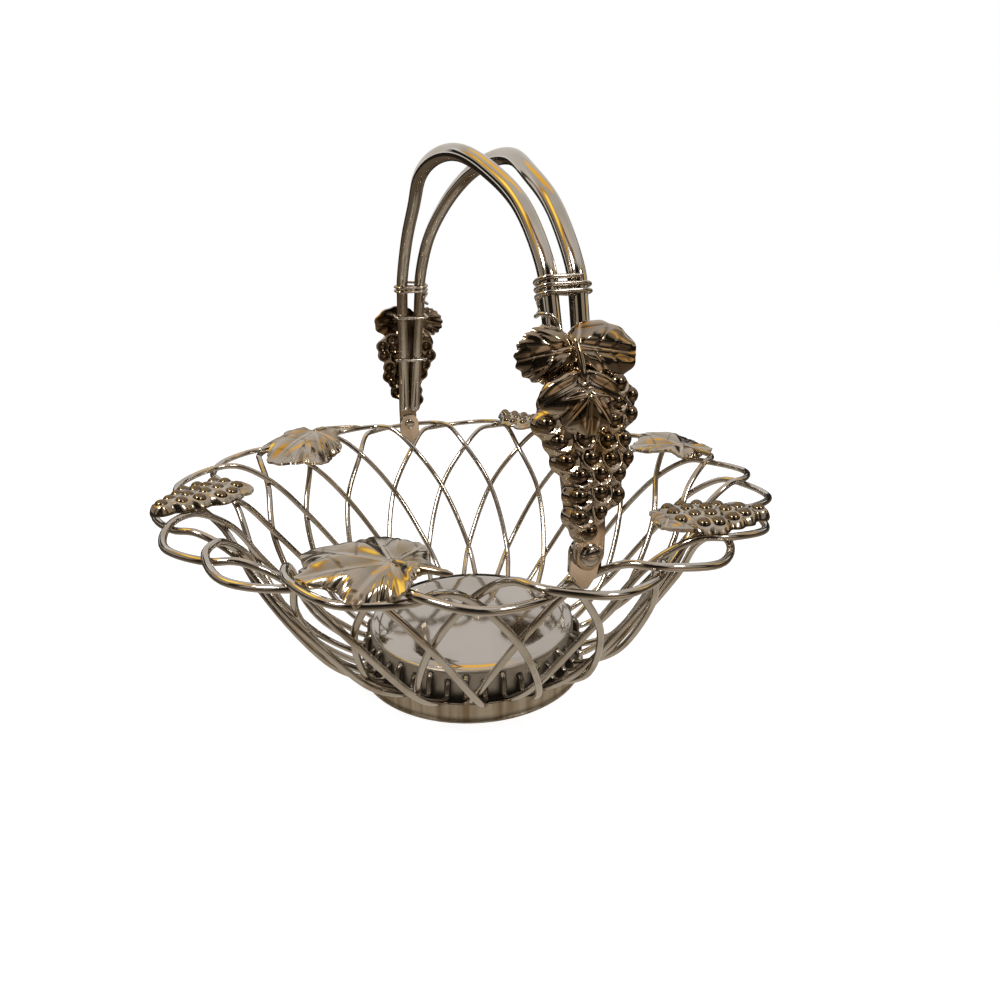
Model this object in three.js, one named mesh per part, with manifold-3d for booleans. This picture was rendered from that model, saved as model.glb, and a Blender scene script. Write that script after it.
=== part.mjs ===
// An openwork bread basket of plated steel wire with a swing handle, in millimetres.
// The origin is the middle of the foot's underside, +Z is up, and the handle's two rivets lie on the Y
// axis. Twenty looped wires hook over the foot band's edge into holes in the raised base plate's wall, and
// cross each other four times on the way up to a flared rim. Cast leaves and grape bunches lie on the rim.
// The handle is a pair of arched tubes, bound with wire at each shoulder, with a vine cluster tied to each
// leg.
import * as THREE from "three";
import { mergeVertices } from "three/addons/utils/BufferGeometryUtils.js";
import Module from "manifold-3d";

const wasm = await Module();
wasm.setup();

// Clearance between two pieces that touch
const CLEARANCE = 0.3;

// Foot band and base plate
const FOOT_RADIUS = 60;
const FOOT_HEIGHT = 10.3;
const FOOT_WALL = 1.2;
const LIP_WIDTH = 0.8;
const LIP_HEIGHT = 1.8;
const HEM_THICKNESS = 1.2;
const HEM_REACH = 3.5;
const CHANNEL_WIDTH = 4;
const HOLES_ABOVE_FOOT = 9.2;
const HOLE_STAGGER = 1.5;
const PLATE_ABOVE_FOOT = 15;
const PLATE_THICKNESS = 1;
const PLATE_EDGE_ROUND = 1.8;

// Bowl of looped wires
const WIRE_DIAMETER = 3;
const LOOP_COUNT = 20;
const RIM_RADIUS = 140.5;
const RIM_HEIGHT = 101;
const HOOK_BEND = 2.5;
const WIRE_TAIL = 4;
const LANDING_SPACINGS = 2.25;

// Each row is a place on the bowl's outline between the rim's tip and the foot: how many loop spacings
// round from the tip, the share of the way out and up from the foot's edge to the tip, and how many steps
// the wire takes to get there from the row before.
const BOWL_OUTLINE = [
  [0.5, 0.917, 1.005, 3],
  [0.72, 0.813, 1, 1],
  [1, 0.666, 0.883, 1],
  [1.5, 0.534, 0.606, 2],
  [2, 0.28, 0.21, 2],
  [2.15, 0.125, 0.075, 1],
];
const NECK_ROW = 3;

// Hinges
const HINGE_ABOVE_NECK = 15.9;
const LUG_THICKNESS = 2;
const LUG_RADIUS = 6.2;
const LUG_STEM_WIDTH = 5;
const LUG_STEM_DEPTH = 13.5;
const STRAP_THICKNESS = 2.4;
const STRAP_WIDTH = 11;
const STRAP_LENGTH = 78;
const RIVET_DIAMETER = 4;
const RIVET_HEAD_DIAMETER = 7.4;
const RIVET_HEAD_HEIGHT = 2.6;
const RIVET_TAIL_DIAMETER = 6;
const RIVET_TAIL_HEIGHT = 1.4;

// Handle
const HANDLE_HEIGHT = 247;
const TUBE_DIAMETER = 6.4;
const SHOULDER_ABOVE_HINGE = 85;
const SHOULDER_INSET = 18.6;
const SHOULDER_SPREAD = 10.6;
const CROWN_SPREAD = 24;
const TUBE_END_ABOVE_HINGE = 10.5;

// Each row is a place on the arch above a shoulder: the share of the shoulder's reach that is left, the
// share of the way up to the crown, and the share of the way from the shoulder's spread to the crown's.
const ARCH_OUTLINE = [
  [0.81, 0.47, 0.1],
  [0.545, 0.76, 0.4],
  [0.3, 0.94, 0.85],
  [0, 1, 1],
];

// Binding wire round the tubes at each shoulder, and its tendril
const BINDING_DIAMETER = 1.4;
const BINDING_TURNS = 3;
const BINDING_PITCH = 1.85;
const BINDING_SLACK = 0.6;
const TENDRIL_RUN = 1.9;
const TENDRIL_RADIUS = 3.6;
const TENDRIL_SWEEP = 1.25 * Math.PI;
const TENDRIL_SHRINK = 0.3;

// Thin wires that tie a cluster to its leg
const TIE_DIAMETER = 1.6;
const TIE_PLACES = [34, 60];

// Cast vine cluster on each leg; places are distances up the leg from the tubes' ends
const CLUSTER_BACK = 4;
const GRAPE_DIAMETER = 6.4;
const GRAPE_CLOSENESS = 0.9;
const GRAPE_ROWS = [1, 2, 2, 3, 3, 4, 4];
const GRAPE_ROW_PITCH = 5.8;
const GRAPE_FIRST_ROW = -1;
const BUNCH_CROWN = 2;
const LEAF_THICKNESS = 2;
const LOW_LEAF_THICKNESS = 5.2;
const LEAF_LENGTH = 19;
const LEAF_WIDTH = 25;
const LEAF_PAIR_PLACE = 54;
const LEAF_PAIR_SPREAD = 10.5;
const LOW_LEAF_PLACE = 38.5;

// A leaf's outline: how many lobes, and how deep the notches between them are, as a share of the leaf
const LEAF_LOBES = 5;
const LEAF_NOTCH = 0.32;

// A bunch's outline: how far up its drop shape is widest, and how far up its sides are steepest
const DROP_WIDEST = 0.7;
const DROP_STEEPEST = 0.2;

// Cast ornaments that lie on the rim; each has an angle round the rim and a turn from pointing outwards
const RIM_LEAF_LENGTH = 54;
const RIM_LEAF_WIDTH = 42;
const RIM_LEAF_THICKNESS = 1.6;
const RIM_LEAF_INSET = 20.5;
const RIM_LEAF_ANGLES = [0, 126, 234];
const RIM_LEAF_TURNS = [90, 105, -105];
const RIM_BUNCH_LENGTH = 50;
const RIM_BUNCH_WIDTH = 26;
const RIM_BUNCH_THICKNESS = 1.6;
const RIM_BUNCH_INSET = 18.5;
const RIM_BUNCH_ANGLES = [54, 180, 300];
const RIM_BUNCH_TURNS = [45, 45, 45];
const RIM_GRAPE_ROWS = [1, 2, 3, 3, 2];
const RIM_GRAPE_RISE = 2.2;

// How finely round forms are cut into flats
const WIRE_SIDES = 5;
const TUBE_SIDES = 8;
const TUBE_STEPS = 40;
const BINDING_SIDES = 6;
const BINDING_STEPS_PER_TURN = 24;
const TENDRIL_STEPS = 10;
const TURNED_SEGMENTS = 2 * LOOP_COUNT;
const ROUND_SEGMENTS = 16;
const EDGE_STEPS = 3;
const DOME_STEPS = 4;
const DROP_STEPS = 5;
const LEAF_POINTS = 25;

const STEEL = { color: 0xb9b4ac, roughness: 0.14, metalness: 1 };
const CAST = { color: 0x9a9186, roughness: 0.22, metalness: 1 };
const MIRROR = { color: 0xc4c2be, roughness: 0.06, metalness: 1 };

// Values worked out from the sizes above
const wireRadius = WIRE_DIAMETER / 2;
const tubeRadius = TUBE_DIAMETER / 2;
const bindingRadius = BINDING_DIAMETER / 2;
const tieRadius = TIE_DIAMETER / 2;
const wireOffset = (WIRE_DIAMETER + CLEARANCE) / 2;
const bandOuter = FOOT_RADIUS - LIP_WIDTH;
const bandInner = bandOuter - FOOT_WALL;
const plateRadius = bandInner - CHANNEL_WIDTH;
const flangeBottom = HEM_THICKNESS + CLEARANCE;
const flangeTop = flangeBottom + PLATE_THICKNESS;
const hookRadius = plateRadius + CLEARANCE + wireRadius;
const hookHeight = FOOT_HEIGHT + CLEARANCE + wireRadius;
const plateHeight = FOOT_HEIGHT + PLATE_ABOVE_FOOT;
const loopAngle = (2 * Math.PI) / LOOP_COUNT;

// Solid made from a closed geometry
function solid(geometry) {
  const bare = geometry.clone();
  bare.deleteAttribute("normal");
  bare.deleteAttribute("uv");
  const merged = mergeVertices(bare, 1e-4);
  return new wasm.Manifold(
    new wasm.Mesh({
      numProp: 3,
      vertProperties: merged.attributes.position.array,
      triVerts: new Uint32Array(merged.index.array),
    }),
  );
}

// Geometry of a solid
function geometryOf(manifold) {
  const mesh = manifold.getMesh();
  const geometry = new THREE.BufferGeometry();
  geometry.setAttribute("position", new THREE.BufferAttribute(mesh.vertProperties, 3));
  geometry.setIndex(new THREE.BufferAttribute(mesh.triVerts, 1));
  const flat = geometry.toNonIndexed();
  flat.computeVertexNormals();
  return flat;
}

// One solid from several closed geometries
function joined(geometries) {
  return geometries.map(solid).reduce((whole, piece) => whole.add(piece));
}

// A round section with a number of flats
function roundSection(radius, sides) {
  const corners = [];
  for (let i = 0; i < sides; i += 1) {
    const angle = ((i + 0.5) / sides) * 2 * Math.PI;
    corners.push(new THREE.Vector2(radius * Math.cos(angle), radius * Math.sin(angle)));
  }
  return new THREE.Shape(corners);
}

// A smooth path through stations, cut into a chosen number of steps between each station and the next
class StationPath extends THREE.Curve {
  constructor(stations, stepsBetween) {
    super();
    this.spline = new THREE.CatmullRomCurve3(stations, false, "centripetal");
    this.places = [0];
    stepsBetween.forEach((steps, span) => {
      for (let i = 1; i <= steps; i += 1) this.places.push((span + i / steps) / stepsBetween.length);
    });
  }

  get steps() {
    return this.places.length - 1;
  }

  getPointAt(t, target) {
    return this.spline.getPoint(this.places[Math.round(t * this.steps)], target);
  }

  getTangentAt(t, target) {
    return this.spline.getTangent(this.places[Math.round(t * this.steps)], target);
  }
}

// A round bar along a path in a number of steps
function bar(path, radius, sides, steps) {
  return new THREE.ExtrudeGeometry(roundSection(radius, sides), { steps, extrudePath: path });
}

// A round bar through stations, with one step between each and the next unless steps are given
function stationBar(stations, radius, sides, stepsBetween = stations.slice(1).map(() => 1)) {
  const path = new StationPath(stations, stepsBetween);
  return bar(path, radius, sides, path.steps);
}

// A turned piece about the Y axis from an outline of radii and places along the axis
function turned(outline, segments) {
  const points = outline.map(([radius, along]) => new THREE.Vector2(radius, along));
  return new THREE.LatheGeometry(points, segments);
}

// A flat piece lying in X and Y with its back at zero height
function flat(shape, thickness, curveSegments) {
  return new THREE.ExtrudeGeometry(shape, { depth: thickness, bevelEnabled: false, curveSegments });
}

// A flat plate: an outline in X and Z, with its back on the plane of the given Y, thick towards +Y
function plate(shape, back, thickness) {
  return flat(shape, thickness, ROUND_SEGMENTS / 2)
    .rotateX(Math.PI / 2)
    .translate(0, back + thickness, 0);
}

// A rod along Y
function rod(radius, from, to) {
  const cylinder = new THREE.CylinderGeometry(radius, radius, to - from, ROUND_SEGMENTS);
  return cylinder.translate(0, (from + to) / 2, 0);
}

// One leg's course from the rim's tip to its cut end inside the base plate: spacings from the tip, radius,
// height, the share of the crossing offset, and the steps from the row before; side is the outer leg's +1
function legRows(side) {
  const span = RIM_RADIUS - FOOT_RADIUS;
  const rise = RIM_HEIGHT - hookHeight;
  const bowl = BOWL_OUTLINE.map(([spacings, out, up, steps], i) => ({
    spacings,
    radius: FOOT_RADIUS + span * out,
    height: hookHeight + rise * up,
    offset: i === BOWL_OUTLINE.length - 1 ? 0.5 : 1,
    steps,
  }));
  const hole = FOOT_HEIGHT + HOLES_ABOVE_FOOT - side * HOLE_STAGGER;
  const halfBend = HOOK_BEND * (1 - Math.SQRT1_2);
  const hook = [
    [bandOuter, hookHeight],
    [hookRadius + halfBend, hookHeight + halfBend],
    [hookRadius, hole - HOOK_BEND],
    [hookRadius - halfBend, hole - halfBend],
    [hookRadius - HOOK_BEND, hole],
    [plateRadius - PLATE_THICKNESS - WIRE_TAIL, hole],
  ].map(([radius, height]) => ({ spacings: LANDING_SPACINGS, radius, height, offset: 0, steps: 1 }));
  return [{ spacings: 0, radius: RIM_RADIUS, height: RIM_HEIGHT, offset: 0 }, ...bowl, ...hook];
}

// One leg as points; the outer leg passes outside the inner one wherever they cross
function legStations(side) {
  const rows = legRows(side);
  return rows.map((row, i) => {
    const before = rows[Math.max(i - 1, 0)];
    const after = rows[Math.min(i + 1, rows.length - 1)];
    const along = new THREE.Vector2(after.radius - before.radius, after.height - before.height).normalize();
    const offset = side * wireOffset * row.offset;
    const radius = row.radius - along.y * offset;
    const height = row.height + along.x * offset;
    const angle = side * row.spacings * loopAngle;
    return new THREE.Vector3(radius * Math.cos(angle), radius * Math.sin(angle), height);
  });
}

// The course of one loop, its tip on the X axis, and the steps between its stations
function loopStations() {
  return [...legStations(-1).reverse(), ...legStations(1).slice(1)];
}

function loopBar(radius) {
  const legSteps = legRows(1)
    .slice(1)
    .map((row) => row.steps);
  return stationBar(loopStations(), radius, WIRE_SIDES, [...[...legSteps].reverse(), ...legSteps]);
}

// Highest point of the rim's wires, which the ornaments lie on
const rimTop = Math.max(...loopStations().map((p) => p.z)) + wireRadius;

// Foot: a band with a rolled lip at the bottom and a hem turned in under the base plate
function footBand() {
  const hemInner = bandInner - HEM_REACH;
  return turned(
    [
      [hemInner, 0],
      [FOOT_RADIUS - LIP_WIDTH / 2, 0],
      [FOOT_RADIUS, LIP_WIDTH / 2],
      [FOOT_RADIUS, LIP_HEIGHT - LIP_WIDTH / 2],
      [bandOuter, LIP_HEIGHT],
      [bandOuter, FOOT_HEIGHT],
      [bandInner, FOOT_HEIGHT],
      [bandInner, HEM_THICKNESS],
      [hemInner, HEM_THICKNESS],
      [hemInner, 0],
    ],
    TURNED_SEGMENTS,
  ).rotateX(Math.PI / 2);
}

// Base plate: a pressed pan upside down, with a round edge, a straight wall with a hole for each wire's
// end, and a flange on the foot's hem
function basePlate() {
  const outline = [
    [0, plateHeight - PLATE_THICKNESS],
    [plateRadius - PLATE_THICKNESS, plateHeight - PLATE_THICKNESS],
    [plateRadius - PLATE_THICKNESS, flangeBottom],
    [bandInner - CLEARANCE, flangeBottom],
    [bandInner - CLEARANCE, flangeTop],
    [plateRadius, flangeTop],
  ];
  for (let i = 0; i <= EDGE_STEPS; i += 1) {
    const angle = ((Math.PI / 2) * i) / EDGE_STEPS;
    outline.push([
      plateRadius - PLATE_EDGE_ROUND * (1 - Math.cos(angle)),
      plateHeight - PLATE_EDGE_ROUND * (1 - Math.sin(angle)),
    ]);
  }
  outline.push([0, plateHeight]);
  let pan = solid(turned(outline, TURNED_SEGMENTS).rotateX(Math.PI / 2));
  for (let i = 0; i < LOOP_COUNT; i += 1) {
    pan = pan.subtract(solid(loopBar(wireRadius + CLEARANCE).rotateZ(i * loopAngle)));
  }
  return geometryOf(pan);
}

// The hinge stack along +Y: the lug lies outside the crossed wires, and the strap outside the lug
const neck = legStations(1)[NECK_ROW];
const hingeHeight = legRows(1)[NECK_ROW].height + HINGE_ABOVE_NECK;
const lugInner = Math.hypot(neck.x, neck.y) + wireRadius + CLEARANCE;
const lugOuter = lugInner + LUG_THICKNESS;
const strapInner = lugOuter + CLEARANCE;
const strapOuter = strapInner + STRAP_THICKNESS;

// The leg's own frame: its origin is midway between the ends of the two tubes, and its Z axis runs up the
// leg, which leans in towards the shoulder
const tubeEndHeight = hingeHeight + TUBE_END_ABOVE_HINGE;
const shoulderHeight = hingeHeight + SHOULDER_ABOVE_HINGE;
const legStart = strapInner - CLEARANCE - tubeRadius;
const shoulderReach = legStart - SHOULDER_INSET;
const legLean = Math.atan2(SHOULDER_INSET, shoulderHeight - tubeEndHeight);
const legLength = Math.hypot(SHOULDER_INSET, shoulderHeight - tubeEndHeight);
const legFrame = new THREE.Matrix4()
  .makeTranslation(0, legStart, tubeEndHeight)
  .multiply(new THREE.Matrix4().makeRotationX(legLean));

// Half the tubes' spacing at their ends and at the shoulder, and the heights of the strap's inner face and
// of the cluster's back above the tubes' middle plane
const endHalf = tubeRadius + CLEARANCE / 2;
const shoulderHalf = SHOULDER_SPREAD / 2;
const strapLift = tubeRadius + CLEARANCE;
const clusterLift = strapLift + STRAP_THICKNESS + CLEARANCE;

// Lug: a round eye for the rivet over a stem that reaches down into the V above the wires' crossing, and
// is notched to fit them
function hingeLug() {
  const eye = new THREE.Shape();
  eye.absarc(0, hingeHeight, LUG_RADIUS, 0, 2 * Math.PI);
  const half = LUG_STEM_WIDTH / 2;
  const bottom = hingeHeight - LUG_STEM_DEPTH;
  const stem = new THREE.Shape([
    new THREE.Vector2(-half, bottom),
    new THREE.Vector2(half, bottom),
    new THREE.Vector2(half, hingeHeight),
    new THREE.Vector2(-half, hingeHeight),
  ]);
  let lug = joined([plate(eye, lugInner, LUG_THICKNESS), plate(stem, lugInner, LUG_THICKNESS)]);
  lug = lug.subtract(rivetHole(lugInner, lugOuter));
  [-1, 1].forEach((side) => {
    const crossing = Math.PI / 2 + side * loopAngle;
    lug = lug.subtract(solid(loopBar(wireRadius + CLEARANCE).rotateZ(crossing)));
  });
  return lug;
}

// Hole for the rivet through a stretch of the hinge stack
function rivetHole(from, to) {
  const radius = RIVET_DIAMETER / 2 + CLEARANCE;
  return solid(rod(radius, from - CLEARANCE, to + CLEARANCE).translate(0, 0, hingeHeight));
}

// Strap: a flat bar with a round lower end on the rivet, bent in to follow the outside of the leg's tubes
function handleStrap() {
  const half = STRAP_WIDTH / 2;
  const end = new THREE.Shape();
  end.absarc(0, hingeHeight, half, Math.PI, 2 * Math.PI);
  end.lineTo(half, tubeEndHeight);
  end.lineTo(-half, tubeEndHeight);
  const lower = plate(end, strapInner, STRAP_THICKNESS);
  const length = STRAP_LENGTH - TUBE_END_ABOVE_HINGE;
  const upper = new THREE.BoxGeometry(STRAP_WIDTH, STRAP_THICKNESS, length)
    .translate(0, strapLift + STRAP_THICKNESS / 2, (length - STRAP_THICKNESS) / 2)
    .applyMatrix4(legFrame);
  return joined([lower, upper]).subtract(rivetHole(strapInner, strapOuter));
}

// Rivet: a shank through lug and strap with a domed head outside and a small upset head inside
function hingeRivet() {
  const headStart = strapOuter + CLEARANCE;
  const tailStart = lugInner - CLEARANCE;
  const radius = RIVET_DIAMETER / 2;
  const tailRadius = RIVET_TAIL_DIAMETER / 2;
  const tailRound = RIVET_TAIL_HEIGHT / 2;
  const outline = [
    [0, tailStart - RIVET_TAIL_HEIGHT],
    [tailRadius - tailRound, tailStart - RIVET_TAIL_HEIGHT],
    [tailRadius, tailStart - tailRound],
    [tailRadius, tailStart],
    [radius, tailStart],
    [radius, headStart],
  ];
  for (let i = 0; i < DOME_STEPS; i += 1) {
    const angle = ((Math.PI / 2) * i) / DOME_STEPS;
    const rise = RIVET_HEAD_HEIGHT * Math.sin(angle);
    outline.push([(RIVET_HEAD_DIAMETER / 2) * Math.cos(angle), headStart + rise]);
  }
  outline.push([0, headStart + RIVET_HEAD_HEIGHT]);
  return turned(outline, ROUND_SEGMENTS).translate(0, 0, hingeHeight);
}

// A point of a leg's middle plane in the basket's frame, on the +Y or the -Y side as end says
function legPoint(x, z, end) {
  const point = new THREE.Vector3(x, 0, z).applyMatrix4(legFrame);
  return new THREE.Vector3(point.x, end * point.y, point.z);
}

// One tube of the handle from leg to leg over the arch; side is the sign of its X
function handleTube(side) {
  const crown = HANDLE_HEIGHT - tubeRadius;
  const bound = (BINDING_TURNS * BINDING_PITCH) / 2 + BINDING_DIAMETER;
  const leg = (end) => [
    legPoint(side * endHalf, 0, end),
    legPoint((side * (endHalf + shoulderHalf)) / 2, legLength / 2, end),
    legPoint(side * shoulderHalf, legLength - bound, end),
    legPoint(side * shoulderHalf, legLength + bound, end),
  ];
  const arch = (end) =>
    ARCH_OUTLINE.map(([reach, up, spread]) => {
      const x = side * (shoulderHalf + (CROWN_SPREAD / 2 - shoulderHalf) * spread);
      const z = shoulderHeight + (crown - shoulderHeight) * up;
      return new THREE.Vector3(x, end * shoulderReach * reach, z);
    });
  const stations = [...leg(1), ...arch(1), ...arch(-1).slice(0, -1).reverse(), ...leg(-1).reverse()];
  const path = new THREE.CatmullRomCurve3(stations, false, "centripetal");
  return bar(path, tubeRadius, TUBE_SIDES, TUBE_STEPS);
}

// A point on the stadium round both tubes, at a share of a turn from its -X, +Y corner
function stadiumPoint(share, radius, height) {
  const straight = 2 * shoulderHalf;
  const half = straight + Math.PI * radius;
  const along = share * 2 * half;
  const side = along < half ? 1 : -1;
  const part = along < half ? along : along - half;
  const angle = Math.max(part - straight, 0) / radius;
  const x = Math.min(part, straight) - shoulderHalf + radius * Math.sin(angle);
  return new THREE.Vector3(side * x, side * radius * Math.cos(angle), height);
}

// Binding wire: an open coil round both tubes, which ends at the end of its last run across the front
function bindingPoints() {
  const radius = tubeRadius + BINDING_SLACK + bindingRadius;
  const run = shoulderHalf / (2 * shoulderHalf + Math.PI * radius);
  const count = Math.round((BINDING_TURNS + run) * BINDING_STEPS_PER_TURN);
  const points = [];
  for (let i = 0; i <= count; i += 1) {
    const turns = (i / count) * (BINDING_TURNS + run);
    const height = legLength - (turns - BINDING_TURNS / 2) * BINDING_PITCH;
    points.push(stadiumPoint(turns % 1, radius, height));
  }
  return points;
}

// The tendril carries on from the coil's end: straight out past the tubes' side, then down and round
function tendrilPoints(from) {
  const points = [];
  for (let i = 0; i <= TENDRIL_STEPS; i += 1) {
    const share = i / TENDRIL_STEPS;
    const angle = share * TENDRIL_SWEEP;
    const radius = TENDRIL_RADIUS * (1 - TENDRIL_SHRINK * share);
    const x = from.x + TENDRIL_RUN + radius * Math.sin(angle);
    const z = from.z - TENDRIL_RADIUS + radius * Math.cos(angle);
    points.push(new THREE.Vector3(x, from.y, z));
  }
  return points;
}

// Least distance between stretches of a winding that aren't next to each other along it
function leastGap(points, diameter) {
  const skip = Math.round(BINDING_STEPS_PER_TURN / 2);
  let least = Infinity;
  for (let i = 0; i < points.length; i += 1) {
    for (let j = i + skip; j < points.length; j += 1) {
      least = Math.min(least, points[i].distanceTo(points[j]) - diameter);
    }
  }
  return least;
}

function bindingWire() {
  const coil = bindingPoints();
  const points = [...coil, ...tendrilPoints(coil[coil.length - 1])];
  console.log("binding wire: least gap to itself " + leastGap(points, BINDING_DIAMETER).toFixed(2) + " mm");
  return stationBar(points, bindingRadius, BINDING_SIDES);
}

// Tie: a thin wire from the back of the cluster, round behind both tubes and back to the cluster
function clusterTie() {
  const half = Math.max(endHalf, shoulderHalf) + strapLift + tieRadius;
  const behind = -strapLift - tieRadius;
  const halfBend = TIE_DIAMETER * (1 - Math.SQRT1_2);
  const side = (sign) => [
    new THREE.Vector3(sign * half, clusterLift - CLEARANCE, 0),
    new THREE.Vector3(sign * half, 0, 0),
    new THREE.Vector3(sign * half, behind + TIE_DIAMETER, 0),
    new THREE.Vector3(sign * (half - halfBend), behind + halfBend, 0),
    new THREE.Vector3(sign * (half - TIE_DIAMETER), behind, 0),
  ];
  return stationBar([...side(1), ...side(-1).reverse()], tieRadius, WIRE_SIDES);
}

// A vine leaf's outline about the origin, with its tip towards +Y
function leafShape(length, width) {
  const corners = [];
  for (let i = 0; i < LEAF_POINTS; i += 1) {
    const angle = (i / LEAF_POINTS) * 2 * Math.PI;
    const reach = 1 - LEAF_NOTCH * (1 - Math.abs(Math.cos((LEAF_LOBES * angle) / 2)));
    const x = (width / 2) * reach * Math.sin(angle);
    corners.push(new THREE.Vector2(x, (length / 2) * reach * Math.cos(angle)));
  }
  return new THREE.Shape(corners);
}

// Grapes in rows that widen up the bunch; the first row is the tip, and the middle stands proudest
function bunch(rows, diameter, pitch, crown) {
  const grapes = [];
  const widest = (Math.max(...rows) * diameter) / 2;
  rows.forEach((count, row) => {
    for (let i = 0; i < count; i += 1) {
      const across = (i - (count - 1) / 2) * diameter * GRAPE_CLOSENESS;
      const proud = crown * (1 - (across / widest) ** 2);
      const grape = new THREE.IcosahedronGeometry(diameter / 2);
      grapes.push(grape.translate(across, row * pitch, proud));
    }
  });
  return grapes;
}

// The backing of a bunch: a drop with its point at the first row
function dropShape(rows, diameter, pitch) {
  const half = (Math.max(...rows) * diameter * GRAPE_CLOSENESS) / 2;
  const length = (rows.length - 1) * pitch;
  const point = -diameter / 2;
  const top = length + diameter / 2;
  const shape = new THREE.Shape();
  shape.moveTo(0, point);
  shape.quadraticCurveTo(half, length * DROP_STEEPEST, half, length * DROP_WIDEST);
  shape.quadraticCurveTo(half, top, 0, top);
  shape.quadraticCurveTo(-half, top, -half, length * DROP_WIDEST);
  shape.quadraticCurveTo(-half, length * DROP_STEEPEST, 0, point);
  return shape;
}

// Cast cluster in the leg's frame: two leaves over a third, and a bunch of grapes that hangs below them
function vineCluster() {
  const laid = (geometry, lift, x, z) =>
    geometry.rotateX(Math.PI / 2).rotateZ(Math.PI).translate(x, lift, z);
  const drop = dropShape(GRAPE_ROWS, GRAPE_DIAMETER, GRAPE_ROW_PITCH);
  const leaf = leafShape(LEAF_LENGTH, LEAF_WIDTH);
  const grapes = bunch(GRAPE_ROWS, GRAPE_DIAMETER, GRAPE_ROW_PITCH, BUNCH_CROWN);
  return joined([
    laid(flat(drop, CLUSTER_BACK, DROP_STEPS), clusterLift, 0, GRAPE_FIRST_ROW),
    laid(flat(leaf, LEAF_THICKNESS), clusterLift, LEAF_PAIR_SPREAD, LEAF_PAIR_PLACE),
    laid(flat(leaf, LEAF_THICKNESS), clusterLift, -LEAF_PAIR_SPREAD, LEAF_PAIR_PLACE),
    laid(flat(leaf, LOW_LEAF_THICKNESS), clusterLift, 0, LOW_LEAF_PLACE),
    ...grapes.map((grape) => laid(grape, clusterLift + CLUSTER_BACK, 0, GRAPE_FIRST_ROW)),
  ]);
}

// Bunch on the rim: a thin drop with low grapes on it, cut flat behind; its middle is at the origin
function rimBunch() {
  const diameter = RIM_BUNCH_WIDTH / (Math.max(...RIM_GRAPE_ROWS) * GRAPE_CLOSENESS);
  const pitch = (RIM_BUNCH_LENGTH - diameter) / (RIM_GRAPE_ROWS.length - 1);
  const backing = flat(dropShape(RIM_GRAPE_ROWS, diameter, pitch), RIM_BUNCH_THICKNESS, DROP_STEPS);
  const grapes = bunch(RIM_GRAPE_ROWS, diameter, pitch, 0).map((grape) =>
    grape.translate(0, 0, RIM_BUNCH_THICKNESS + RIM_GRAPE_RISE - diameter / 2),
  );
  const below = new THREE.BoxGeometry(2 * RIM_BUNCH_WIDTH, 4 * RIM_BUNCH_LENGTH, diameter);
  const whole = joined([backing, ...grapes]).subtract(solid(below.translate(0, 0, -diameter / 2)));
  return geometryOf(whole).translate(0, (diameter - RIM_BUNCH_LENGTH) / 2, 0);
}

// Named mesh with its own material
function piece(name, geometry, look) {
  const mesh = new THREE.Mesh(geometry, new THREE.MeshStandardMaterial(look));
  mesh.name = name;
  return mesh;
}

const basket = new THREE.Group();
basket.add(piece("foot_band", footBand(), STEEL));
basket.add(piece("base_plate", basePlate(), MIRROR));

for (let i = 0; i < LOOP_COUNT; i += 1) {
  const number = String(i + 1).padStart(2, "0");
  const wire = piece("loop_wire_" + number, loopBar(wireRadius), STEEL);
  wire.rotation.z = i * loopAngle;
  basket.add(wire);
}

// Lays an ornament on the rim, inset from the rim's edge, its +Y end turned from pointing outwards
function layOnRim(ornament, inset, angle, turn) {
  const arm = new THREE.Group();
  arm.rotation.z = THREE.MathUtils.degToRad(angle);
  ornament.position.set(RIM_RADIUS - inset, 0, rimTop + CLEARANCE);
  ornament.rotation.z = THREE.MathUtils.degToRad(turn - 90);
  arm.add(ornament);
  basket.add(arm);
}

RIM_LEAF_ANGLES.forEach((angle, i) => {
  const shape = leafShape(RIM_LEAF_LENGTH, RIM_LEAF_WIDTH);
  const leaf = piece("rim_leaf_" + (i + 1), flat(shape, RIM_LEAF_THICKNESS), CAST);
  layOnRim(leaf, RIM_LEAF_INSET, angle, RIM_LEAF_TURNS[i]);
});

RIM_BUNCH_ANGLES.forEach((angle, i) => {
  const grapes = piece("rim_grapes_" + (i + 1), rimBunch(), CAST);
  layOnRim(grapes, RIM_BUNCH_INSET, angle, RIM_BUNCH_TURNS[i] + 180);
});

basket.add(piece("handle_tube_right", handleTube(1), STEEL));
basket.add(piece("handle_tube_left", handleTube(-1), STEEL));

const SIDES = [
  { name: "back", turn: 0 },
  { name: "front", turn: Math.PI },
];
SIDES.forEach(({ name, turn }) => {
  const side = new THREE.Group();
  side.rotation.z = turn;
  side.add(piece("hinge_lug_" + name, geometryOf(hingeLug()), STEEL));
  side.add(piece("hinge_rivet_" + name, hingeRivet(), STEEL));
  side.add(piece("handle_strap_" + name, geometryOf(handleStrap()), STEEL));
  const leg = new THREE.Group();
  leg.applyMatrix4(legFrame);
  leg.add(piece("binding_wire_" + name, bindingWire(), STEEL));
  leg.add(piece("vine_cluster_" + name, geometryOf(vineCluster()), CAST));
  TIE_PLACES.forEach((place, i) => {
    const tie = piece("cluster_tie_" + name + "_" + (i + 1), clusterTie(), STEEL);
    tie.position.z = place;
    leg.add(tie);
  });
  side.add(leg);
  basket.add(side);
});

export default basket;
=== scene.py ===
"""A plated wire bread basket with a swing handle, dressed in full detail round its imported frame.

Lengths in the pieces' classes are in millimetres and are made metres when a mesh is built; those
of the studio are in metres.
"""

import logging
import math
import random
from collections.abc import Sequence
from dataclasses import dataclass, replace
from enum import Enum
from math import cos, pi, radians, sin

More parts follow.
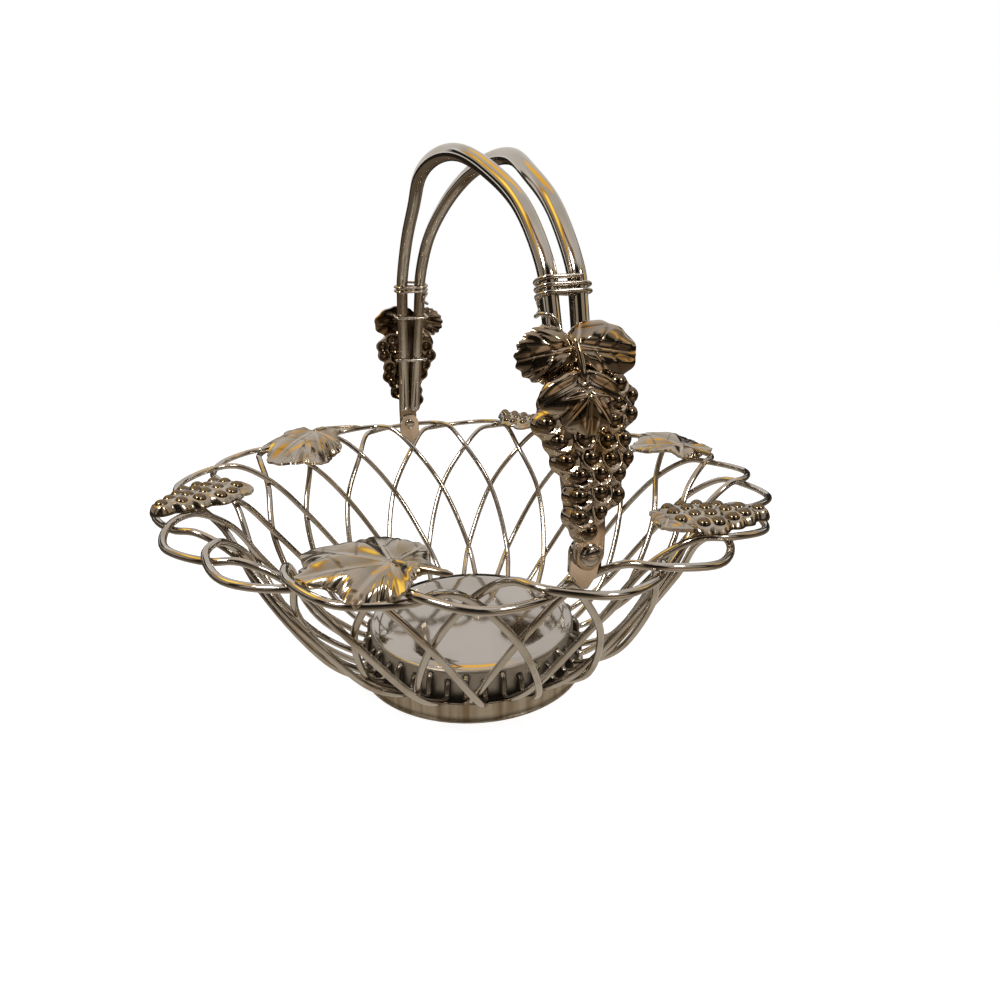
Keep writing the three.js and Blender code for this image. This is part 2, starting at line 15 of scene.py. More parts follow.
import bmesh
import bpy
import numpy as np
from bpy.types import Material, Mesh, NodeSocket, NodeTree, Object, World
from mathutils import Matrix, Vector


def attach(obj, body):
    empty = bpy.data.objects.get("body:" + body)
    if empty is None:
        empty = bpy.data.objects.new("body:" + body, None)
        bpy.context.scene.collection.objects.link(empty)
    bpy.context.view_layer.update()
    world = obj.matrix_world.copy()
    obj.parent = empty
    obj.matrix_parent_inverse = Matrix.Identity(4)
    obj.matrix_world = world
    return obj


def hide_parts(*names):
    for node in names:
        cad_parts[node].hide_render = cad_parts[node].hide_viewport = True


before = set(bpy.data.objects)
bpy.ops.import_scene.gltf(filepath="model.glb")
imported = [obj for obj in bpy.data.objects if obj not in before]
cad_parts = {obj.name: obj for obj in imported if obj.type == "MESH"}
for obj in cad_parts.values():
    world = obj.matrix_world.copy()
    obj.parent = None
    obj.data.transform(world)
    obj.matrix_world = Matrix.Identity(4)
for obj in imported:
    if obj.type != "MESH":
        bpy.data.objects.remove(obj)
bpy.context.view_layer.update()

MM = 0.001
# vertex attribute of painted shade and highlight: 0 takes the darkest colour, 1 the plate's own
SHADE_ATTRIBUTE = "relief_shade"
FADE = "fade"
STAY = Matrix.Identity(4)
# share of its radius that the middle of a quarter bend stays away from both of its tangents
BEND_MIDDLE = 1 - math.sqrt(0.5)

Colour = tuple[float, float, float]
Point = tuple[float, float, float]
Flat = tuple[float, float]
Face = tuple[int, ...]
Value = NodeSocket | float | str | Sequence[float]

log = logging.getLogger("basket")


class Body(Enum):
    """The CAD bodies that pieces ride on."""

    BASKET = "basket"
    HANDLE = "handle"


class Slot(Enum):
    """The record's material slots."""

    WIRE = "plated_wire"
    STRIP = "plated_strip"
    DISC = "polished_disc"
    CAST = "cast_ornament"


class End(Enum):
    """The two ends of the hinge line, with the turn about Z that takes the back one there."""

    BACK = ("back", 0.0)
    FRONT = ("front", 180.0)

    @property
    def label(self) -> str:
        """Word used in the names of this end's nodes."""
        return self.value[0]

    @property
    def turn(self) -> Matrix:
        """Turn about Z that takes the back end to this one."""
        return turn_about("Z", self.value[1])


def turn_about(axis: str, degrees: float) -> Matrix:
    """A turn about an axis."""
    return Matrix.Rotation(radians(degrees), 4, axis)


def round_steps(count: int) -> list[float]:
    """Angles of even steps all the way round, in radians."""
    return [2 * pi * i / count for i in range(count)]


def ramp(value: np.ndarray, start: float, end: float) -> np.ndarray:
    """How far values are from a start to an end, from 0 to 1."""
    return np.clip((value - start) / (end - start), 0.0, 1.0)


# ---------------------------------------------------------------- finishes


class NodeBench:
    """Adds and joins the nodes of one tree."""

    def __init__(self, tree: NodeTree) -> None:
        """Takes a tree and empties it."""
        self.tree = tree
        tree.nodes.clear()

    @staticmethod
    def pick(sockets: Sequence[NodeSocket], key: int | str) -> NodeSocket:
        """Finds a socket by its number, or by its name among those in use.

        Args:
            sockets: A node's inputs or outputs.
            key: The number or name.

        Returns:
            The socket.
        """
        if isinstance(key, int):
            return sockets[key]
        return next(s for s in sockets if s.name == key and s.enabled)

    def add(
        self,
        kind: str,
        inputs: dict[int | str, Value] | None = None,
        out: int | str = 0,
        **settings: str,
    ) -> NodeSocket | None:
        """Adds a node.

        Args:
            kind: The node's type name.
            inputs: The value or the source of each input that is set.
            out: The output that is wanted.
            **settings: Properties of the node.

        Returns:
            That output, or None for a node that has none.
        """
        node = self.tree.nodes.new(kind)
        for key, value in settings.items():
            setattr(node, key, value)
        for key, value in (inputs or {}).items():
            socket = self.pick(node.inputs, key)
            if isinstance(value, NodeSocket):
                self.tree.links.new(value, socket)
            else:
                socket.default_value = (*value, 1.0) if socket.type == "RGBA" else value
        return self.pick(node.outputs, out) if node.outputs else None

    def calc(self, operation: str, first: Value, second: Value) -> NodeSocket:
        """Works out one value from two."""
        return self.add("ShaderNodeMath", {0: first, 1: second}, operation=operation)

    def remap(self, value: NodeSocket, *ends: float) -> NodeSocket:
        """Maps a value from the range of the first two ends to that of the last two, clamped."""
        names = ("Value", "From Min", "From Max", "To Min", "To Max")
        return self.add("ShaderNodeMapRange", dict(zip(names, (value, *ends))))


class ShaderBench(NodeBench):
    """Builds the shader of a material or of the world."""

    def __init__(self, owner: Material | World) -> None:
        """Empties the owner's shader.

        Args:
            owner: The material or the world.
        """
        owner.use_nodes = True
        super().__init__(owner.node_tree)
        self.owner = owner

    def noise(
        self, place: NodeSocket, size: float, detail: float, grain: Point = (1, 1, 1)
    ) -> NodeSocket:
        """Adds a noise.

        Args:
            place: Where it is read.
            size: Size of its features, in millimetres.
            detail: Octaves of detail.
            grain: How many times finer it is along each axis.

        Returns:
            Its value.
        """
        scale = [share / (size * MM) for share in grain]
        vector = self.add("ShaderNodeMapping", {"Vector": place, "Scale": scale})
        inputs = {"Vector": vector, "Scale": 1.0, "Detail": detail}
        return self.add("ShaderNodeTexNoise", inputs, "Fac")

    def mix(self, share: NodeSocket, first: Value, second: Value) -> NodeSocket:
        """Mixes two colours."""
        inputs = {"Factor": share, "A": first, "B": second}
        return self.add("ShaderNodeMix", inputs, "Result", data_type="RGBA")

    def seen(self) -> NodeSocket:
        """Adds what is 1 for camera, mirror and glass rays.

        Returns:
            The value.
        """
        path = self.add("ShaderNodeLightPath").node.outputs
        either = self.calc("MAXIMUM", path["Is Camera Ray"], path["Is Glossy Ray"])
        return self.calc("MAXIMUM", either, path["Is Transmission Ray"])

    def end(self, shader: NodeSocket) -> Material | World:
        """Ends the tree.

        Args:
            shader: What it hands out.

        Returns:
            The shader's owner.
        """
        kind = "Material" if isinstance(self.owner, Material) else "World"
        self.add("ShaderNodeOutput" + kind, {"Surface": shader})
        return self.owner


@dataclass(frozen=True)
class Plate:
    """Silver plate: own colour, a warmer tone in patches, small ripples, fine scratches, painted
    shade.
    """

    name: str
    silver: Colour
    toning: Colour
    # colour of painted shade in hollows, creases and recesses, and of painted dark reflections
    hollow: Colour = (0.06, 0.045, 0.03)
    toned: Flat = (0.45, 0.7)
    patch: float = 14.0
    roughness: float = 0.1
    spread: float = 0.08
    dullness: float = 0.0
    scratch: float = 1.2
    scratched: Flat = (0.3, 0.7)
    ripple: float = 0.02
    ripple_size: float = 6.0
    grain: Point = (1, 1, 1)
    # octaves of the patches, the scratches and the ripples
    details: Point = (3.0, 4.0, 2.0)

    def build(self) -> Material:
        """Makes the material.

        Returns:
            The new material.
        """
        bench = ShaderBench(bpy.data.materials.new(self.name))
        place = bench.add("ShaderNodeTexCoord", out="Object")
        patches = bench.noise(place, self.patch, self.details[0], self.grain)
        toned = bench.remap(patches, *self.toned, 0.0, 1.0)
        face = bench.mix(toned, self.silver, self.toning)
        relief_shade = bench.add("ShaderNodeAttribute", out="Fac", attribute_name=SHADE_ATTRIBUTE)
        scratches = bench.noise(place, self.scratch, self.details[1], self.grain)
        roughest = self.roughness + self.spread
        rough = bench.remap(scratches, *self.scratched, self.roughness, roughest)
        if self.dullness > 0:
            rough = bench.calc("ADD", rough, bench.remap(relief_shade, 0.0, 1.0, self.dullness, 0.0))
        ripples = bench.noise(place, self.ripple_size, self.details[2])
        bump = bench.add("ShaderNodeBump", {"Distance": self.ripple * MM, "Height": ripples})
        # painted shade and highlight: mixed towards the shade colour where the vertex attribute is
        # low
        colour = bench.mix(relief_shade, self.hollow, face)
        inputs = {"Base Color": colour, "Metallic": 1.0, "Roughness": rough, "Normal": bump}
        return bench.end(bench.add("ShaderNodeBsdfPrincipled", inputs))


WIRE_PLATE = Plate(
    "drawn silver plate", (0.60, 0.56, 0.51), (0.45, 0.39, 0.31),
    patch=16.0, roughness=0.07, spread=0.06, dullness=0.3,
)
TUBE_PLATE = Plate(
    "polished tube plate", (0.58, 0.54, 0.48), (0.47, 0.40, 0.31),
    patch=30.0, roughness=0.06, spread=0.05, ripple=0.008,
)
# partly painted reflection: the darker toning runs in upright streaks that stand in for reflection
# streaks on the band and the strap
STRIP_PLATE = Plate(
    "streaked silver plate", (0.50, 0.44, 0.36), (0.27, 0.205, 0.135), patch=5.0,
    toned=(0.38, 0.66), roughness=0.13, spread=0.12, dullness=0.7, grain=(1, 1, 0.06),
)
DISC_PLATE = Plate(
    "mirror silver plate", (0.58, 0.545, 0.50), (0.50, 0.46, 0.41), (0.10, 0.078, 0.05),
    patch=45.0, roughness=0.05, spread=0.05, dullness=0.9, ripple=0.003,
)
# dark painted shade in the hollows, standing in for shadow and for the dark room that the cluster
# reflects
SHADED_CAST = Plate(
    "dark-shaded cast silver", (0.56, 0.48, 0.39), (0.44, 0.32, 0.17), (0.06, 0.03, 0.008),
    patch=9.0, roughness=0.08, spread=0.06, ripple_size=4.0,
)
BRIGHT_CAST = Plate(
    "bright cast silver", (0.57, 0.51, 0.43), (0.46, 0.37, 0.24), (0.12, 0.08, 0.035),
    patch=12.0, roughness=0.12, ripple_size=5.0,
)


# ---------------------------------------------------------------- meshes


class MeshParts:
    """Vertices, faces and painted shade of one mesh as it grows, in millimetres."""

    def __init__(self) -> None:
        """Starts with nothing."""
        self.points: list[Point] = []
        self.faces: list[Face] = []
        self.relief_shade: list[float] = []

    def loft(
        self,
        rings: Sequence[Sequence[Point]],
        relief_shade: Sequence[float | list[float]] = (),
        place: Matrix = STAY,
        looped: bool = False,
    ) -> None:
        """Adds a closed shell that runs from ring to ring.

        Args:
            rings: The rings' points, as many in each; a ring of one point is a pole.
            relief_shade: Painted shade of each ring or point, from 0 for the darkest, 1 if not
                given.
            place: Where the shell goes.
            looped: Whether the last ring joins the first; if not, the end rings are filled.
        """
        count = max(map(len, rings))
        index = []
        for ring, bright in zip(rings, relief_shade or [1.0] * len(rings)):
            start, step = len(self.points), int(len(ring) > 1)
            index.append([start + step * i for i in range(count)])
            self.points += [tuple(place @ Vector(p)) for p in ring]
            self.relief_shade += np.broadcast_to(bright, len(ring)).tolist()
        if not looped:
            self.faces += [tuple(r) for r in (index[0], index[-1][::-1]) if r[0] != r[1]]
        for low, high in zip(index, index[1:] + index[: int(looped)]):
            for i in range(count):
                j = (i + 1) % count
                self.faces.append(tuple(dict.fromkeys((high[i], high[j], low[j], low[i]))))

    def build(self, name: str, material: Material, sharp: float = 40.0) -> Object:
        """Makes the object, with its faces outwards.

        Args:
            name: Its name.
            material: Its material.
            sharp: Angle in degrees past which an edge stays sharp.

        Returns:
            The new object, in the scene.
        """
        mesh = bpy.data.meshes.new(name)
        mesh.from_pydata([[c * MM for c in p] for p in self.points], [], self.faces)
        mesh.attributes.new(SHADE_ATTRIBUTE, "FLOAT", "POINT").data.foreach_set("value", self.relief_shade)
        work = bmesh.new()
        work.from_mesh(mesh)
        bmesh.ops.recalc_face_normals(work, faces=work.faces)
        work.to_mesh(mesh)
        work.free()
        return finished(name, mesh, material, sharp)


def in_scene(name: str, data: bpy.types.ID) -> Object:
    """Makes an object and puts it in the scene.

    Args:
        name: Its name.
        data: Its mesh, curve, lamp or camera.

    Returns:
        The object.
    """
    obj = bpy.data.objects.new(name, data)
    bpy.context.scene.collection.objects.link(obj)
    return obj


def finished(name: str, mesh: Mesh, material: Material, sharp: float = 40.0) -> Object:
    """Shades a mesh smooth, gives it its one material and puts it in the scene.

    Args:
        name: The object's name.
        mesh: The mesh.
        material: Its material.
        sharp: Angle in degrees past which an edge stays sharp.

    Returns:
        The object.
    """
    mesh.name = name
    mesh.materials.clear()
    mesh.materials.append(material)
    mesh.polygons.foreach_set("material_index", [0] * len(mesh.polygons))
    if SHADE_ATTRIBUTE not in mesh.attributes:
        layer = mesh.attributes.new(SHADE_ATTRIBUTE, "FLOAT", "POINT").data
        layer.foreach_set("value", [1.0] * len(mesh.vertices))
    mesh.shade_smooth()
    mesh.set_sharp_from_angle(angle=radians(sharp))
    return in_scene(name, mesh)


def baked(name: str, source: Object, material: Material) -> Object:
    """Turns an object with modifiers into a plain mesh object and removes the source.

    Args:
        name: The new object's name.
        source: The object to take the shape from.
        material: The new object's material.

    Returns:
        The plain object.
    """
    graph = bpy.context.evaluated_depsgraph_get()
    mesh = bpy.data.meshes.new_from_object(source.evaluated_get(graph))
    bpy.data.objects.remove(source)
    return finished(name, mesh, material)


def axis_places(obj: Object) -> tuple[np.ndarray, np.ndarray]:
    """Where an object's vertices are.

    Args:
        obj: The object.

    Returns:
        Their distances from the Z axis and their heights, in millimetres.
    """
    flat = np.empty(len(obj.data.vertices) * 3, dtype=np.float32)
    obj.data.vertices.foreach_get("co", flat)
    x, y, z = flat.reshape(-1, 3).T / MM
    return np.hypot(x, y), z


def set_painted_shade(obj: Object, value: np.ndarray) -> None:
    """Sets each vertex's painted shade, from 0 for the darkest to 1 for the plate's own colour."""
    bright = np.clip(value, 0.0, 1.0).astype(np.float32)
    obj.data.attributes[SHADE_ATTRIBUTE].data.foreach_set("value", bright)


def hand_over(obj: Object, body: Body, nodes: list[str]) -> None:
    """Makes a piece ride on its body in place of its CAD nodes.

    Args:
        obj: The piece.
        body: The body it rides on.
        nodes: The CAD nodes that it stands for.
    """
    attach(obj, body.value)
    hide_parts(*nodes)
    log.info("%s: %d faces, for %d nodes", obj.name, len(obj.data.polygons), len(nodes))


def turned(outline: Sequence[Flat], segments: int) -> list[list[Point]]:
    """Turns an outline about the Z axis.

    Args:
        outline: Radii and heights.
        segments: Steps round the axis.

    Returns:
        The ring of each of the outline's points, a single point on the axis.
    """
    turns = [(cos(a), sin(a)) for a in round_steps(segments)]
    return [[(r * c, r * s, z) for c, s in turns] if r else [(0.0, 0.0, z)] for r, z in outline]


def mirrored(side: list[Flat]) -> list[Flat]:
    """A line and its mirror image across the first axis, gone through backwards."""
    return [*side, *((-x, y) for x, y in reversed(side))]


def arc(centre: Flat, radius: float, start: float, end: float, steps: int = 8) -> list[Flat]:
    """Points on an arc.

    Args:
        centre: Its centre.
        radius: Its radius.
        start: First angle, in degrees.
        end: Last angle, in degrees.
        steps: Steps between them.

    Returns:
        The points, both ends among them.
    """
    angles = [radians(start + (end - start) * i / steps) for i in range(steps + 1)]
    return [(centre[0] + radius * cos(a), centre[1] + radius * sin(a)) for a in angles]


def smooth_course(stations: list[Vector], per_span: int) -> list[Vector]:
    """A centripetal Catmull-Rom spline through stations.

    Args:
        stations: Points that it passes through.
        per_span: Steps between one station and the next.

    Returns:
        Points along it.
    """
    ends = [2 * stations[0] - stations[1], *stations, 2 * stations[-1] - stations[-2]]
    course = []
    for i in range(1, len(ends) - 2):
        p0, p1, p2, p3 = ends[i - 1 : i + 3]
        d0, d1, d2 = ((b - a).length ** 0.5 for a, b in ((p0, p1), (p1, p2), (p2, p3)))
        t1 = ((p1 - p0) / d0 - (p2 - p0) / (d0 + d1) + (p2 - p1) / d1) * d1
        t2 = ((p2 - p1) / d1 - (p3 - p1) / (d1 + d2) + (p3 - p2) / d2) * d1
        square, cube = 3 * (p2 - p1) - 2 * t1 - t2, 2 * (p1 - p2) + t1 + t2
        for t in (k / per_span for k in range(per_span)):
            course.append(p1 + t1 * t + square * t**2 + cube * t**3)
    return [*course, stations[-1]]


# ---------------------------------------------------------------- geometry nodes


class TreeBench(NodeBench):
    """Builds geometry nodes with named inputs, and runs them."""

    def __init__(self, name: str, inputs: dict[str, str]) -> None:
        """Makes the tree with its inputs and a geometry out.

        Args:
            name: The tree's name.
            inputs: Name and kind of each input besides the geometry and the material.
        """
        super().__init__(bpy.data.node_groups.new(name, "GeometryNodeTree"))
        face = self.tree.interface
        for label, kind in {"Geometry": "Geometry", **inputs, "Material": "Material"}.items():
            face.new_socket(label, in_out="INPUT", socket_type="NodeSocket" + kind)
        face.new_socket("Geometry", in_out="OUTPUT", socket_type="NodeSocketGeometry")
        self.given = self.tree.nodes.new("NodeGroupInput").outputs

    def end(self, geometry: NodeSocket) -> None:
        """Realizes the instances, sets the material and ends the tree.

        Args:
            geometry: What it hands out.
        """
        real = self.add("GeometryNodeRealizeInstances", {"Geometry": geometry})
        inputs = {"Geometry": real, "Material": self.given["Material"]}
        self.add("NodeGroupOutput", {"Geometry": self.add("GeometryNodeSetMaterial", inputs)})

    def run(self, name: str, source: Object, values: dict[str, object]) -> Object:
        """Runs the tree on an object and keeps the result as a plain mesh object.

        Args:
            name: The new object's name.
            source: The object, which is removed.
            values: The value of each named input.

        Returns:
            The plain object.
        """
        modifier = source.modifiers.new(self.tree.name, "NODES")
        modifier.node_group = self.tree
        for item in self.tree.interface.items_tree:
            if item.in_out == "INPUT" and item.name in values:
                modifier[item.identifier] = values[item.name]
        return baked(name, source, values["Material"])


@dataclass(frozen=True)
class Wire:
    """A round wire with rounded ends, and how far and over what length it wavers by hand."""

    diameter: float
    sides: int = 12
    tip: int = 2
    waver: float = 0.0
    waver_length: float = 60.0
    seed: float = 0.0

    def round_ends(self, course: list[Vector]) -> list[tuple[Vector, float]]:
        """Adds a rounded end at both ends of a course.

        Args:
            course: The wire's middle line.

        Returns:
            Points with the share of the full radius that the wire has there.
        """
        head, tail = (
            (end - next_one).normalized() * self.diameter / 4
            for end, next_one in ((course[0], course[1]), (course[-1], course[-2]))
        )
        angles = [pi / 2 * (i + 1) / (self.tip + 1) for i in range(self.tip)]
        start = [(course[0] + head * sin(a), cos(a)) for a in reversed(angles)]
        end = [(course[-1] + tail * sin(a), cos(a)) for a in angles]
        return [*start, *((p, 1.0) for p in course), *end]


class WireTree(TreeBench):
    """Sweeps a round section along each course, with a slight hand-bent waver."""

    def __init__(self) -> None:
        """Builds the tree."""
        kinds = {"Diameter": "Float", "Sides": "Int", "Waver": "Float", "Waver Length": "Float"}
        super().__init__("round wire along a course", {**kinds, "Seed": "Float"})
        given, vector = self.given, "ShaderNodeVectorMath"
        place = self.add("GeometryNodeInputPosition")
        length = self.add("ShaderNodeCombineXYZ", dict.fromkeys("XYZ", given["Waver Length"]))
        place = self.add(vector, {0: place, 1: length}, operation="DIVIDE")
        inputs = {"Vector": place, "W": given["Seed"], "Scale": 1.0, "Detail": 0.0}
        noise = self.add("ShaderNodeTexNoise", inputs, "Color", noise_dimensions="4D")
        centred = self.add(vector, {0: noise, 1: (0.5, 0.5, 0.5)}, operation="SUBTRACT")
        offset = self.add(vector, {0: centred, "Scale": given["Waver"]}, operation="SCALE")
        inputs = {"Geometry": given["Geometry"], "Offset": offset}
        bent = self.add("GeometryNodeSetPosition", inputs)
        radius = self.calc("MULTIPLY", given["Diameter"], 0.5)
        inputs = {"Resolution": given["Sides"], "Radius": radius}
        section = self.add("GeometryNodeCurvePrimitiveCircle", inputs, mode="RADIUS")
        taper = self.add("GeometryNodeInputRadius")
        inputs = {"Curve": bent, "Profile Curve": section, "Scale": taper, "Fill Caps": True}
        self.end(self.add("GeometryNodeCurveToMesh", inputs))

    def make(
        self, name: str, courses: list[list[Vector]], wire: Wire, material: Material
    ) -> Object:
        """Makes one mesh of wires.

        Args:
            name: Its name.
            courses: The middle line of each wire, in millimetres.
            wire: The wire.
            material: Its material.

        Returns:
            The plain mesh object.
        """
        curve = bpy.data.curves.new(name, "CURVE")
        curve.dimensions = "3D"
        for line in map(wire.round_ends, courses):
            spline = curve.splines.new("POLY")
            spline.points.add(len(line) - 1)
            for point, (place, share) in zip(spline.points, line):
                point.co = (*(place * MM), 1.0)
                point.radius = share
        values = {
            "Diameter": wire.diameter * MM,
            "Sides": wire.sides,
            "Waver": wire.waver * MM,
            "Waver Length": wire.waver_length * MM,
            "Seed": wire.seed,
            "Material": material,
        }
        return self.run(name, in_scene(name + ".course", curve), values)


class GrapeTree(TreeBench):
    """Sets a round grape on each point."""

    def __init__(self, segments: int = 28, rings: int = 16) -> None:
        """Builds the tree.

        Args:
            segments: Steps round a grape.
            rings: Steps from its one pole to the other.
        """
        kinds = {"Diameter": "Float", "Brightness": "Float", "Spread": "Float", "Seed": "Int"}
        super().__init__("grapes on points", kinds)
        given = self.given
        inputs = {"Segments": segments, "Rings": rings, "Radius": 0.5}
        ball = self.add("GeometryNodeMeshUVSphere", inputs)
        # each grape carries its one painted shade value as its vertex attribute
        inputs = {"Geometry": ball, "Name": SHADE_ATTRIBUTE, "Value": given["Brightness"]}
        toned = self.add("GeometryNodeStoreNamedAttribute", inputs, data_type="FLOAT")
        low, high = (self.calc(kind, 1.0, given["Spread"]) for kind in ("SUBTRACT", "ADD"))
        inputs = {"Min": low, "Max": high, "Seed": given["Seed"]}
        share = self.add("FunctionNodeRandomValue", inputs, "Value", data_type="FLOAT")
        size = self.calc("MULTIPLY", share, given["Diameter"])
        inputs = {"Points": given["Geometry"], "Instance": toned, "Scale": size}
        self.end(self.add("GeometryNodeInstanceOnPoints", inputs))


# ---------------------------------------------------------------- bowl and foot


@dataclass
class Bowl:
    """Twenty looped wires from the rim down into the base plate's wall."""

    tree: WireTree
    plate: Material
    wire: Wire = Wire(3.0, sides=14, waver=1.6, waver_length=55.0, seed=4.0)
    crossing_gap: float = 0.06
    loops: int = 20
    rim_radius: float = 140.5
    rim_height: float = 101.0
    foot_radius: float = 60.0
    band_outer: float = 59.2
    hook_height: float = 12.1
    hook_radius: float = 55.8
    hook_bend: float = 2.5
    hole_height: float = 19.5
    hole_stagger: float = 1.5
    tail_radius: float = 49.0
    landing: float = 2.25
    # painted shade: the wires are darkened inside the first of these radii, down in the foot's
    # channel
    painted_shade: float = 0.85
    shade_radii: Flat = (59.5, 57.0)
    shade_heights: Flat = (24.0, 20.0)
    steps: int = 7
    # spacings from the tip, shares of the way out and up, share of the crossing offset
    outline: tuple[tuple[float, float, float, float], ...] = (
        (0.5, 0.917, 1.005, 1.0),
        (0.72, 0.813, 1.0, 1.0),
        (1.0, 0.666, 0.883, 1.0),
        (1.5, 0.534, 0.606, 1.0),
        (2.0, 0.28, 0.21, 1.0),
        (2.15, 0.125, 0.075, 0.5),
    )

    def rows(self, side: int) -> list[tuple[float, float, float, float]]:
        """One leg's course as spacings, radius, height and offset share.

        Args:
            side: 1 for the outer leg, -1 for the inner one.

        Returns:
            The rows from the tip to the wire's end.
        """
        foot, low = self.foot_radius, self.hook_height
        span, rise = self.rim_radius - foot, self.rim_height - low
        hook, bend = self.hook_radius, self.hook_bend
        hole, part = self.hole_height - side * self.hole_stagger, bend * BEND_MIDDLE
        ending = (
            (self.band_outer, low),
            (hook + part, low + part),
            (hook, hole - bend),
            (hook - part, hole - part),
            (hook - bend, hole),
            (self.tail_radius, hole),
        )
        return [
            (0.0, self.rim_radius, self.rim_height, 0.0),
            *((step, foot + span * r, low + rise * z, share) for step, r, z, share in self.outline),
            *((self.landing, radius, height, 0.0) for radius, height in ending),
        ]

    def leg(self, side: int) -> list[Vector]:
        """Stations of one leg; the outer leg passes outside the inner one at each crossing.

        Args:
            side: 1 for the outer leg, -1 for the inner one.

        Returns:
            The stations from the tip to the wire's end.
        """
        rows = self.rows(side)
        stations = []
        for i, (spacings, radius, height, offset) in enumerate(rows):
            before, after = rows[max(i - 1, 0)], rows[min(i + 1, len(rows) - 1)]
            along = Vector((after[1] - before[1], after[2] - before[2])).normalized()
            shift = side * offset * (self.wire.diameter + self.crossing_gap) / 2
            angle = side * spacings * 2 * pi / self.loops
            out, up = radius - along.y * shift, height + along.x * shift
            stations.append(Vector((out * cos(angle), out * sin(angle), up)))
        return stations

    def build(self) -> None:
        """Makes the wires."""
        course = smooth_course([*reversed(self.leg(-1)), *self.leg(1)[1:]], self.steps)
        turns = [Matrix.Rotation(angle, 4, "Z") for angle in round_steps(self.loops)]
        courses = [[turn @ p for p in course] for turn in turns]
        obj = self.tree.make("bowl_wires", courses, self.wire, self.plate)
        out, up = axis_places(obj)
        # painted shade on the wires down in the foot's channel
        set_painted_shade(obj, 1 - self.painted_shade * ramp(out, *self.shade_radii) * ramp(up, *self.shade_heights))
        nodes = [f"loop_wire_{i + 1:02d}" for i in range(self.loops)]
        hand_over(obj, Body.BASKET, nodes)


